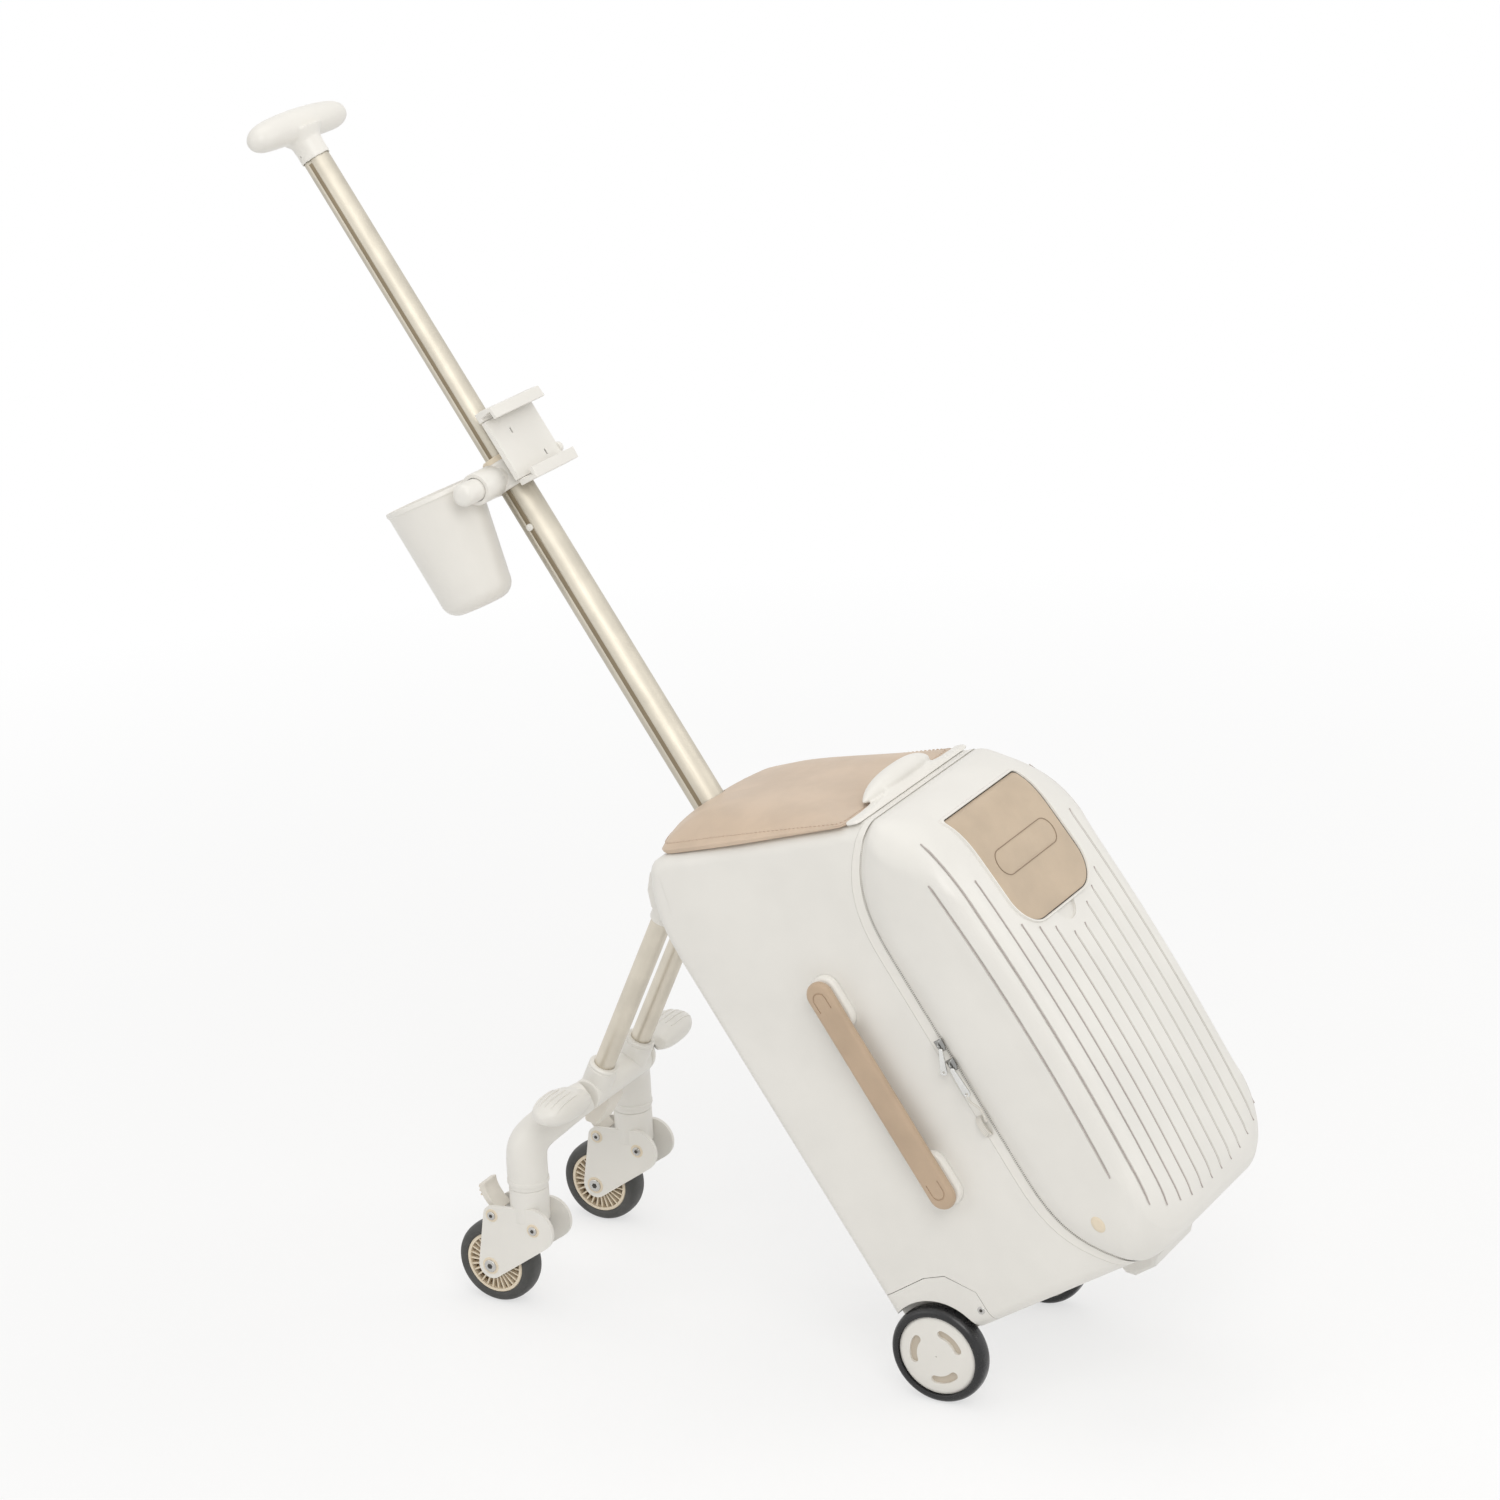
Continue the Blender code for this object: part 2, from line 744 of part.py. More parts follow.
def make_wheel(side, sign, frame):
    x_out = WHEEL_OUT
    x_in = WHEEL_OUT - WHEEL_W
    half = WHEEL_W / 2
    mid = sign * (x_out - half)
    rim_r = WHEEL_CAP_R
    tyre = turned(
        [
            (rim_r + GAP, mid - half),
            (WHEEL_R - 0.004, mid - half),
            (WHEEL_R - 0.0008, mid - half * 0.55),
            (WHEEL_R, mid),
            (WHEEL_R - 0.0008, mid + half * 0.55),
            (WHEEL_R - 0.004, mid + half),
            (rim_r + GAP, mid + half),
        ],
        FINE,
        "x",
    )
    add("wheel_tyre_" + side, tyre, dark_rubber("wheel_rubber_" + side), frame)
    face = sign * (x_out - 0.0004)
    recess = sign * (x_in + 0.004)
    inner = sign * (x_in + 0.0008)
    bore = WHEEL_BORE_R + GAP
    hub = turned(
        [
            (bore, face - sign * 0.0035),
            (AXLE_HEAD_R + 0.001, face - sign * 0.0035),
            (AXLE_HEAD_R + 0.001, face),
            (rim_r - 0.0012, face),
            (rim_r, face - sign * 0.0015),
            (rim_r, inner),
            (rim_r - 0.004, inner),
            (rim_r - 0.004, recess),
            (0.011, recess),
            (0.011, inner),
            (bore, inner),
        ],
        FINE,
        "x",
    )
    wheel = add("wheel_hub_" + side, hub, trim_white("hub_white_" + side), frame)
    for k in range(3):
        slot = arc_slot(0.0225, 0.0065, 50, math.radians(90 + 120 * k))
        depth = sign * 0.0030
        cutter = prism_x(slot, face - depth, face + depth)
        cut(wheel, tool("wheel_slot_%s_%d" % (side, k), cutter, frame))
    pin_in = sign * (HOUSING_IN + 0.004)
    head0 = face - sign * 0.0030
    head1 = head0 + sign * AXLE_HEAD_T
    r = WHEEL_BORE_R - GAP
    pin = cylinder_x(r, pin_in, head0, 16)
    axle = add("wheel_axle_" + side, pin, steel("axle_steel_" + side), frame)
    head = tool("wheel_axle_head_" + side, cylinder_x(AXLE_HEAD_R, head0 - sign * 0.0002, head1), frame)
    unite(axle, head)


def arc_slot(radius, width, sweep_deg, centre):
    # Curved slot with round ends, as an outline in two coordinates.
    half = math.radians(sweep_deg / 2)
    outer = []
    inner = []
    steps = 6
    for k in range(steps + 1):
        a = centre - half + 2 * half * k / steps
        outer.append(((radius + width / 2) * math.cos(a), (radius + width / 2) * math.sin(a)))
        inner.append(((radius - width / 2) * math.cos(a), (radius - width / 2) * math.sin(a)))
    ends = []
    for end, turn_from in ((centre + half, 0), (centre - half, 180)):
        cx = radius * math.cos(end)
        cy = radius * math.sin(end)
        arc = []
        for k in (45, 90, 135):
            a = end + math.radians(turn_from + k)
            arc.append((cx + width / 2 * math.cos(a), cy + width / 2 * math.sin(a)))
        ends.append(arc)
    return outer + ends[0] + list(reversed(inner)) + ends[1]


def make_lid(frame):
    lid = add("lid_shell", lid_block(0), shell_white("lid_white"), frame)
    keep(lid, tool("lid_front_part", zip_band(GAP, None), frame))
    hollow = tool("lid_hollow", lid_block(LID_WALL), frame)
    window = tool("lid_window", prism_y(flap_outline(FLAP_GAP), -CUT_FRONT, -WINDOW_BACK), frame)
    cut(lid, hollow, window)
    notch_z = FLAP_TOP_Z - FLAP_DROP - FLAP_GAP
    notch_y = -lid_front(notch_z)
    scoop = bmesh.new()
    bmesh.ops.create_icosphere(scoop, subdivisions=2, radius=NOTCH_R)
    scoop.transform(Matrix.Translation((0, notch_y - NOTCH_SINK, notch_z - NOTCH_DROP)))
    cut(lid, tool("lid_notch", scoop, frame))

    chain = add("zip_chain", lid_block(CHAIN_RECESS), trim_white("chain_white"), frame)
    keep(chain, tool("chain_band", zip_band(-CHAIN_W, 0), frame))
    cut(chain, tool("chain_inside", lid_block(CHAIN_T), frame))
    return lid


def make_flap(frame):
    flap = add("flap", prism_y(flap_outline(0), -CUT_FRONT, -FLAP_BLANK_BACK), tan("flap_tan"), frame)
    outer = lid_block(-FLAP_PROUD)
    skin = tool("flap_skin", outer, frame)
    back = lid_block(-FLAP_PROUD)
    back.transform(Matrix.Translation((0, FLAP_T, 0)))
    under = tool("flap_under", back, frame)
    keep(flap, skin)
    cut(flap, under)
    return flap


def make_tray(frame):
    grow = TRAY_LIP
    blank = prism_y(flap_outline(grow), -TRAY_FRONT, -TRAY_BACK)
    tray = add("pocket_tray", blank, trim_white("tray_white"), frame)
    outer = lid_block(LID_WALL + GAP)
    keep(tray, tool("tray_skin", outer, frame))
    inner = flap_outline(-TRAY_WALL)
    cut(tray, tool("tray_hollow", prism_y(inner, -CUT_FRONT, -TRAY_BACK - TRAY_WALL), frame))
    return tray


def make_seat(frame):
    # Plan outline of the right half, from the back centre to the front, as (x, depth).
    half = [
        (0.0, SEAT_BACK_DEPTH),
        (0.030, SEAT_BACK_DEPTH + 0.001),
        (0.058, SEAT_BACK_DEPTH + 0.005),
        (0.080, SEAT_CORNER_DEPTH - 0.009),
        (0.092, SEAT_CORNER_DEPTH - 0.003),
        (SEAT_HALF_W_BACK, SEAT_CORNER_DEPTH + 0.006),
        (SEAT_HALF_W_BACK + 0.003, TOP_REF_DEPTH),
        (SEAT_HALF_W, 0.100),
        (SEAT_HALF_W, 0.150),
        (SEAT_HALF_W, SEAT_FRONT_DEPTH - 0.014),
        (SEAT_HALF_W - 0.004, SEAT_FRONT_DEPTH - 0.004),
        (SEAT_HALF_W - 0.014, SEAT_FRONT_DEPTH),
        (0.060, SEAT_FRONT_DEPTH),
        (0.030, SEAT_FRONT_DEPTH),
        (0.0, SEAT_FRONT_DEPTH),
    ]
    outline = half + [(-x, d) for x, d in reversed(half[1:-1])]
    middle = (SEAT_FRONT_DEPTH + SEAT_BACK_DEPTH) / 2
    rings = []
    for f, h in ((1.0, 0.0), (1.0, 0.22), (0.975, 0.48), (0.90, 0.76), (0.76, 0.93), (0.50, 1.0)):
        ring = []
        for x, d in outline:
            depth = middle + (d - middle) * f
            ring.append((x * f, -depth, top_z(depth) + GAP + SEAT_HEIGHT * h))
        rings.append(ring)
    seat = add("seat", loft(rings), tan("seat_tan"), frame, smooth=50)
    seal_r = SEAL_R + GAP
    cut(seat, tool("seat_pole_hole", cylinder(seal_r, 0.44, 0.60), frame, (0, -POLE_DEPTH, 0)))
    room = GRAB_BASE_HALF_W + GRAB_NOTCH_GAP
    back = GRAB_DEPTH - GRAB_BASE_LEN / 2 - GRAB_NOTCH_GAP
    notch = case_box(-room, room, back, SEAT_FRONT_DEPTH + 0.02, 0.38, 0.52)
    cut(seat, tool("seat_grab_notch", grab_body(GRAB_NOTCH_GAP), frame))
    cut(seat, tool("seat_base_notch", notch, frame))
    return seat


def grab_body(grow):
    sections = []
    for f in (-1.0, -0.93, -0.75, -0.5, 0.0, 0.5, 0.75, 0.93, 1.0):
        r = GRAB_TIP_R + (GRAB_R - GRAB_TIP_R) * (1 - abs(f) ** 3) + grow
        if abs(f) == 1.0:
            r = GRAB_TIP_R * 0.5 + grow
        x = f * (GRAB_HALF_L + grow)
        z = GRAB_Z - 0.004 * f * f
        y = -(GRAB_DEPTH - 0.004 * f * f)
        ring = []
        for c, s in circle(1.0, 14):
            ring.append((x, y + r * 1.15 * c, z + r * 0.95 * s))
        sections.append(ring)
    return loft(sections)


def make_grab_bar(frame):
    bar = add("grab_bar", grab_body(0), trim_white("grab_white"), frame)
    depth0 = GRAB_DEPTH - GRAB_BASE_LEN / 2
    depth1 = GRAB_DEPTH + GRAB_BASE_LEN / 2
    floor = [(-depth0, top_z(depth0) + GAP), (-depth1, top_z(depth1) + GAP)]
    outline = [floor[0], (-depth0, GRAB_Z), (-depth1, GRAB_Z), floor[1]]
    base = tool("grab_base", prism_x(outline, -GRAB_BASE_HALF_W, GRAB_BASE_HALF_W), frame)
    unite(bar, base)
    return bar


def make_pole_guide(frame):
    outer = LOWER_R + GUIDE_WALL + RUN_GAP
    add(
        "pole_guide",
        tube(outer, GUIDE_WALL, GUIDE_FLOOR_Z, GUIDE_TOP_Z),
        material("guide_grey", (0.35, 0.35, 0.35), 0.5),
        frame,
        (0, -POLE_DEPTH, 0),
    )
    seat_top = top_z(POLE_DEPTH) + SEAT_HEIGHT
    bore = LOWER_R + RUN_GAP
    seal = turned(
        [
            (SEAL_R, GUIDE_TOP_Z + GAP),
            (SEAL_R, seat_top + SEAL_H - 0.002),
            (SEAL_R - 0.0015, seat_top + SEAL_H),
            (bore, seat_top + SEAL_H),
            (bore, GUIDE_TOP_Z + GAP),
        ]
    )
    add("pole_seal", seal, material("seal_brown", (0.10, 0.07, 0.05), 0.6), frame, (0, -POLE_DEPTH, 0))

    clear = outer + COVER_CLEAR
    x1 = clear + COVER_WALL
    d0 = CASE_BACK + CASE_WALL + GAP
    d1 = POLE_DEPTH + clear + COVER_WALL
    z0 = bottom_z(d1) + CASE_WALL + COVER_LIFT
    z1 = BACK_BEND_Z - 0.004
    cover_grey = material("cover_grey", (0.5, 0.48, 0.45), 0.7)
    cover = add("pole_cover", case_box(-x1, x1, d0, d1, z0, z1), cover_grey, frame)
    hollow = case_box(-clear, clear, d0 - 0.01, d1 - COVER_WALL, z0 + COVER_WALL, z1 + 0.02)
    cut(cover, tool("cover_hollow", hollow, frame))


def make_lower_pole(frame):
    z0 = LOWER_TOP_Z - LOWER_LEN
    lower = add("pole_lower", tube(LOWER_R, LOWER_WALL, z0, LOWER_TOP_Z), champagne("lower_metal"), frame)
    hole = cylinder_x(LOCK_R + GAP, -0.03, 0.0, 12, 0, LOCK_Z)
    cut(lower, tool("lock_hole", hole, frame))
    tip = LOWER_R + LOCK_OUT
    add(
        "stage_stop",
        cylinder_x(LOCK_R, -tip, -(tip - LOCK_LEN), 12, 0, LOCK_Z),
        trim_white("lock_white"),
        frame,
    )


def make_upper_pole(frame):
    z0 = UPPER_TOP_Z - UPPER_LEN
    add("pole_upper", tube(UPPER_R, UPPER_WALL, z0, UPPER_TOP_Z), champagne("upper_metal"), frame)
    bar_rings = []
    for f in (-1.0, -0.96, -0.82, -0.5, 0.0, 0.5, 0.82, 0.96, 1.0):
        full = T_R_END + (T_R_MID - T_R_END) * (1 - abs(f) ** 2)
        r = full * (0.35 if abs(f) == 1.0 else 0.80 if abs(f) == 0.96 else 1.0)
        ring = []
        for c, s in circle(1.0, 14):
            ring.append((f * T_HALF_L, r * 1.06 * c, T_Z + r * s - 0.0015 * f * f))
        bar_rings.append(ring)
    bar = add("t_handle", loft(bar_rings), trim_white("t_white"), frame)
    neck_bottom = UPPER_TOP_Z - T_SOCKET
    neck = turned(
        [
            (UPPER_R + GAP, neck_bottom),
            (UPPER_R + 0.0030, neck_bottom),
            (UPPER_R + 0.0034, neck_bottom + 0.012),
            (T_NECK_R + 0.001, T_Z - 0.012),
            (T_NECK_R + 0.003, T_Z - 0.005),
            (UPPER_R + GAP, T_Z - 0.005),
        ]
    )
    unite(bar, tool("t_neck", neck, frame))
    cut(bar, tool("t_socket", cylinder(UPPER_R + GAP, neck_bottom - 0.01, UPPER_TOP_Z + GAP), frame))
    button_floor = T_Z + T_R_MID - BUTTON_TRAVEL - BUTTON_H - 0.0005
    well = cylinder(BUTTON_R + GAP, button_floor, T_Z + 0.03)
    shaft = cylinder(ROD_R + 0.0006, UPPER_TOP_Z - 0.005, button_floor + 0.001, 12)
    cut(bar, tool("t_button_well", well, frame), tool("t_rod_hole", shaft, frame))
    low = button_floor + BUTTON_TRAVEL + 0.0005
    high = low + BUTTON_H + 0.0012
    cap = spun([(BUTTON_R, low), (BUTTON_R, high - 0.001), (BUTTON_R - 0.0015, high)])
    add("release_button", cap, tan("button_tan"), frame)
    rod_top = low - GAP
    add("push_rod", cylinder(ROD_R, rod_top - ROD_LEN, rod_top, 12), steel("rod_steel"), frame)


def make_clamp(frame):
    grip = LOWER_R + GAP
    z0 = CLAMP_Z - CLAMP_H / 2
    z1 = CLAMP_Z + CLAMP_H / 2
    ring = turned(
        [
            (grip, z0),
            (CLAMP_R - 0.002, z0),
            (CLAMP_R, z0 + 0.003),
            (CLAMP_R, z1 - 0.003),
            (CLAMP_R - 0.002, z1),
            (grip, z1),
        ]
    )
    clamp = add("clamp", ring, trim_white("clamp_white"), frame)
    for sign in (-1, 1):
        stations = [(0.017, 1.0), (0.035, 1.0), (ARM_REACH - 0.005, 1.0)]
        stations += [(ARM_REACH - 0.0015, 0.85), (ARM_REACH, 0.5)]
        rings = []
        for x, f in stations:
            r = ARM_R * f
            around = circle(1.0, ROUND, phase=0.1)
            rings.append([(sign * x, r * c, CLAMP_Z + r * s) for c, s in around])
        unite(clamp, tool("clamp_arm_%d" % (sign + 1), loft(rings), frame))


def make_cup(frame, parent):
    # The cup's own frame has its origin on the arm's axis and leans with the cup.
    back = POLE_DEPTH - CUP_DEPTH
    rise = CUP_RIM_RISE
    cos_l = math.cos(CUP_LEAN)
    sin_l = math.sin(CUP_LEAN)
    y = back * cos_l - rise * sin_l
    z = back * sin_l + rise * cos_l
    centre = (CUP_X, y, z)
    r0 = CUP_R_BOTTOM
    r1 = CUP_R_TOP
    low = -CUP_H
    profile = [
        (r0 - 0.010, low),
        (r0 - 0.002, low + 0.003),
        (r0, low + 0.010),
        (r1, 0.0),
        (r1 - CUP_WALL, 0.0),
        (r0 - CUP_WALL, low + 0.011),
        (r0 - 0.010 - CUP_WALL, low + CUP_WALL + 0.002),
    ]
    bm = spun(profile, FINE)
    bm.transform(Matrix.Translation(centre))
    cup = add("cup", bm, trim_white("cup_white"), parent)
    inner = ARM_R + RUN_GAP
    outer = inner + CUP_HOOK_T
    hook = turned([(inner, 0), (outer, 0), (outer, CUP_HOOK_W), (inner, CUP_HOOK_W)], ROUND, "x")
    hook.transform(Matrix.Translation((CUP_X - CUP_HOOK_W / 2, 0, 0)))
    band = tool("cup_hook", hook, parent)
    web_y = y - CUP_R_TOP + 0.002
    web = box(CUP_X - 0.009, CUP_X + 0.009, inner + 0.001, web_y + 0.002, -0.006, 0.006)
    unite(cup, band, tool("cup_web", web, parent))
    return cup


def make_phone_holder(frame, parent, jaw_parent):
    # The holder's frame lies on the arm's axis, and the plate stands in front of the clamp.
    back = -(CLAMP_R + RUN_GAP)
    front = back - PLATE_T
    z0 = -PLATE_DROP
    z1 = z0 + PLATE_H
    slab = box(PLATE_X0, PLATE_X1, front, back, z0, z1)
    plate = add("phone_plate", slab, trim_white("plate_white"), parent)
    slot = box(PLATE_X0 + 0.010, PLATE_X1 - 0.010, front + 0.0015, back + 0.001, z1 - 0.034, z1 + 0.01)
    cut(plate, tool("plate_slot", slot, parent))
    inner = ARM_R + RUN_GAP
    outer = inner + CUP_HOOK_T
    x0 = CLAMP_R + 0.003
    hook = turned([(inner, 0), (outer, 0), (outer, 0.026), (inner, 0.026)], ROUND, "x")
    hook.transform(Matrix.Translation((x0, 0, 0)))
    web = box(x0 + 0.003, x0 + 0.023, back - 0.0012, -inner - 0.001, -0.006, 0.006)
    unite(plate, tool("plate_hook", hook, parent), tool("plate_web", web, parent))

    lip = front - JAW_REACH
    low = z0 - GAP
    outline = [
        (back, low),
        (back, low - 0.0055),
        (lip, low - 0.0070),
        (lip - 0.0008, low + JAW_LIP),
        (lip + 0.0030, low + JAW_LIP),
        (lip + 0.0034, low - 0.0030),
        (front, low - 0.0012),
        (front, low),
    ]
    lower = prism_x(outline, PLATE_X0 + 0.004, PLATE_X1 - 0.002)
    add("phone_lower_jaw", lower, trim_white("jaw_white"), parent)

    high = z1 + GAP
    outline = [
        (back, high),
        (front, high),
        (front, high + 0.0030),
        (lip + 0.0034, high + 0.0040),
        (lip + 0.0030, high - JAW_LIP),
        (lip - 0.0008, high - JAW_LIP),
        (lip, high + JAW_H - 0.002),
        (front - 0.004, high + JAW_H),
        (back, high + JAW_H),
    ]
    upper = prism_x(outline, PLATE_X0 - 0.002, PLATE_X1 + 0.002)
    jaw = add("phone_upper_jaw", upper, trim_white("upper_jaw_white"), jaw_parent)
    tongue_y = front + 0.0015 + GAP
    tongue = box(
        PLATE_X0 + 0.012, PLATE_X1 - 0.012, tongue_y, tongue_y + JAW_TONGUE_T, z1 - 0.030, high + 0.002
    )
    unite(jaw, tool("jaw_tongue", tongue, jaw_parent))


def make_carry_handle(frame):
    wall = -CASE_HALF_W
    bar_in = wall - HANDLE_RISE
    bar_out = bar_in - HANDLE_T
    r = HANDLE_R
    outline = []
    for cz, start in ((HANDLE_Z1, 0), (HANDLE_Z0, 180)):
        for k in range(0, 181, 30):
            a = math.radians(start + k)
            outline.append((-HANDLE_DEPTH + r * math.cos(a), cz + r * math.sin(a)))
    bar = add("carry_grip", prism_x(outline, bar_out, bar_in), tan("handle_tan"), frame)
    bevel(bar, 0.0025, 2, 50)
    for name, z, step in (("upper", HANDLE_Z1, 1), ("lower", HANDLE_Z0, -1)):
        shape = []
        middle = z + 0.004 * step
        ends = ((middle + MOUNT_LEN / 2 - 0.010, 0), (middle - MOUNT_LEN / 2 + 0.004, 180))
        for cz, start in ends:
            for k in range(0, 181, 30):
                a = math.radians(start + k)
                shape.append((-HANDLE_DEPTH + MOUNT_R * math.cos(a), cz + MOUNT_R * math.sin(a)))
        pad = prism_x(shape, wall - MOUNT_H, wall - GAP)
        mount = add("handle_mount_" + name, pad, trim_white("mount_white_" + name), frame)
        bevel(mount, 0.002, 2, 50)


def make_zip_parts(frame):
    wall = -CASE_HALF_W
    for i, name in enumerate(("upper", "lower")):
        z = SLIDER_Z[i]
        half = SLIDER_L / 2
        outline = [
            (-ZIP_DEPTH - SLIDER_W / 2, z - half + 0.002),
            (-ZIP_DEPTH - SLIDER_W / 2, z + half),
            (-ZIP_DEPTH + SLIDER_W / 2, z + half),
            (-ZIP_DEPTH + SLIDER_W / 2, z - half + 0.002),
            (-ZIP_DEPTH, z - half),
        ]
        out = wall - SLIDER_LIFT
        body = prism_x(outline, out - SLIDER_T, out)
        add("zip_slider_" + name, body, steel("slider_steel_" + name), frame)
        y = -ZIP_DEPTH - PULL_SIDE[i]
        top = z - half - GAP
        face = out - SLIDER_T - PULL_LIFT
        plate = box(face - PULL_T, face, y - PULL_W / 2, y + PULL_W / 2, top - PULL_L[i], top)
        pull = add("zip_pull_" + name, plate, steel("pull_steel_" + name), frame)
        hang(pull, empty("pull_hinge_" + name, (face - PULL_T / 2, y, top - PULL_T / 2), 0, frame))


def make_foot(frame):
    z1 = bottom_z(FOOT_DEPTH0) - GAP
    z2 = bottom_z(FOOT_DEPTH1) - GAP
    outline = [
        (-FOOT_DEPTH0, z1),
        (-FOOT_DEPTH0 - 0.003, -FOOT_H + 0.006),
        (-FOOT_DEPTH0 - 0.010, -FOOT_H),
        (-FOOT_DEPTH1 + 0.008, -FOOT_H),
        (-FOOT_DEPTH1 + 0.001, -FOOT_H + 0.007),
        (-FOOT_DEPTH1, z2),
    ]
    foot = add("front_foot", prism_x(outline, -FOOT_HALF_W, FOOT_HALF_W), shell_white("foot_white"), frame)
    bevel(foot, 0.004, 2, 60)


def make_hinge_housing(frame):
    outline = [
        (-CASE_BACK + GAP, HOUSE_Z0),
        (-HOUSE_BACK - 0.003, HOUSE_Z0),
        (-HOUSE_BACK, HOUSE_Z0 + 0.004),
        (-HOUSE_BACK, PIVOT_Z),
        (-HOUSE_BACK - 0.006, HOUSE_Z1 - 0.014),
        (-HOUSE_BACK - 0.018, HOUSE_Z1 - 0.002),
        (-HOUSE_BACK - 0.026, HOUSE_Z1),
        (-CASE_BACK - 0.012, HOUSE_Z1),
        (-CASE_BACK - 0.004 + GAP, HOUSE_Z1 - 0.020),
    ]
    block = prism_x(outline, -HOUSE_HALF_W, HOUSE_HALF_W)
    house = add("hinge_housing", block, shell_white("hinge_white"), frame)
    clear = tool("hinge_case_clear", body_block(-GAP, CASE_HALF_W + GAP, CASE_EDGE_R), frame)
    inner = HOUSE_HALF_W - HOUSE_EAR
    depths = (HOUSE_BACK - 0.01, CASE_BACK - HOUSE_PLATE)
    slot = case_box(-inner, inner, *depths, HOUSE_Z0 - 0.01, PIVOT_Z + 0.0145)
    bore = cylinder_x(PIN_R + GAP, -0.07, 0.07, 16, -PIVOT_DEPTH, PIVOT_Z)
    cut(house, clear, tool("hinge_slot", slot, frame), tool("hinge_bore", bore, frame))
    pin = cylinder_x(PIN_R, -HOUSE_HALF_W + 0.0005, HOUSE_HALF_W - 0.0005, 16, -PIVOT_DEPTH, PIVOT_Z)
    add("leg_pin", pin, steel("pin_steel"), frame)


def make_leg(frame, length):
    # Modelled with the pivot at the origin and the leg running down -z.
    half = HOUSE_HALF_W - HOUSE_EAR - RUN_GAP
    block = add("leg_yoke", cylinder_x(STUB_R, -half, half), shell_white("yoke_white"), frame)
    for sign in (-1, 1):
        x = sign * LEG_X
        stub = tool("leg_stub_%d" % (sign + 1), cylinder(STUB_R, -STUB_LEN, 0, ROUND, x), frame)
        unite(block, stub)
    for sign in (-1, 1):
        x = sign * LEG_X
        hole = cylinder(LEG_R + GAP, -STUB_LEN - 0.01, -0.011, ROUND, x)
        socket = tool("leg_socket_%d" % (sign + 1), hole, frame)
        cut(block, socket)
    cut(block, tool("leg_yoke_bore", cylinder_x(PIN_R + GAP, -0.06, 0.06, 16), frame))
    for side, sign in (("right", -1), ("left", 1)):
        bm = tube(LEG_R, LEG_WALL, -length + 0.004, -0.0115)
        bm.transform(Matrix.Translation((sign * LEG_X, 0, 0)))
        add("leg_tube_" + side, bm, champagne("leg_metal_" + side), frame)
    drop = -length - BAR_DROP
    roller = cylinder_x(BAR_R, -BAR_HALF_L, BAR_HALF_L, ROUND, 0, drop)
    bar = add("leg_crossbar", roller, trim_white("bar_white"), frame)
    for sign in (-1, 1):
        collar = cylinder(COLLAR_R, drop + 0.002, -length + COLLAR_UP, ROUND, sign * LEG_X)
        unite(bar, tool("bar_collar_%d" % (sign + 1), collar, frame))
    for sign in (-1, 1):
        hole = cylinder(LEG_R + GAP, -length + 0.0035, -length + 0.05, ROUND, sign * LEG_X)
        cut(bar, tool("bar_socket_%d" % (sign + 1), hole, frame))
    return drop


def make_hook(bar_y, bar_z):
    y0 = bar_y + 0.002
    top = bar_z - BAR_R - GAP
    low = bar_z - HOOK_DROP
    back = y0 + HOOK_BACK
    outline = [
        (y0 - HOOK_T / 2, top),
        (y0 - HOOK_T / 2, top - 0.010),
        (back - HOOK_T, low + 0.004),
        (back - HOOK_T + 0.003, low),
        (back + 0.006, low + 0.002),
        (back + 0.008, low + 0.020),
        (y0 + HOOK_T, top - 0.004),
        (y0 + HOOK_T, top),
    ]
    hook = add("stow_hook", prism_x(outline, -HOOK_HALF_W, HOOK_HALF_W), cream("hook_cream"))
    clear = cylinder_x(BAR_R + GAP, -0.03, 0.03, ROUND, bar_y, bar_z)
    cut(hook, tool("hook_clear", clear))


def arm_path(sign, bar_y, bar_z):
    start = (sign * (BAR_HALF_L + GAP + 0.0005), bar_y, bar_z)
    return [
        start,
        (sign * 0.057, bar_y + 0.006, bar_z - 0.004),
        (sign * 0.070, bar_y + 0.018, bar_z - 0.014),
        (sign * 0.083, bar_y + 0.031, bar_z - 0.026),
        (sign * (CASTER_X - 0.002), SWIVEL_Y - 0.0015, ELBOW_Z + 0.010),
        (sign * CASTER_X, SWIVEL_Y, ELBOW_Z - 0.003),
        (sign * CASTER_X, SWIVEL_Y, SLEEVE_BOTTOM),
    ]


def arm_radii(grow):
    return [r + grow for r in (BAR_R, 0.0155, ARM_TUBE_R, 0.0172, 0.0182, SLEEVE_R, SLEEVE_R)]


def make_arm(side, sign, bar_y, bar_z):
    bent = sweep(arm_path(sign, bar_y, bar_z), arm_radii(0))
    arm = add("caster_arm_" + side, bent, trim_white("arm_white_" + side))
    x_end = sign * (BAR_HALF_L + GAP)
    trim = box(min(0, x_end), max(0, x_end), 0.2, 0.6, 0.0, 0.4)
    hole = cylinder(STEM_R + RUN_GAP, SLEEVE_BOTTOM - 0.01, STEM_TOP + 0.0005, 16, sign * CASTER_X, SWIVEL_Y)
    cut(arm, tool("arm_trim_" + side, trim), tool("arm_hole_" + side, hole))
    return arm


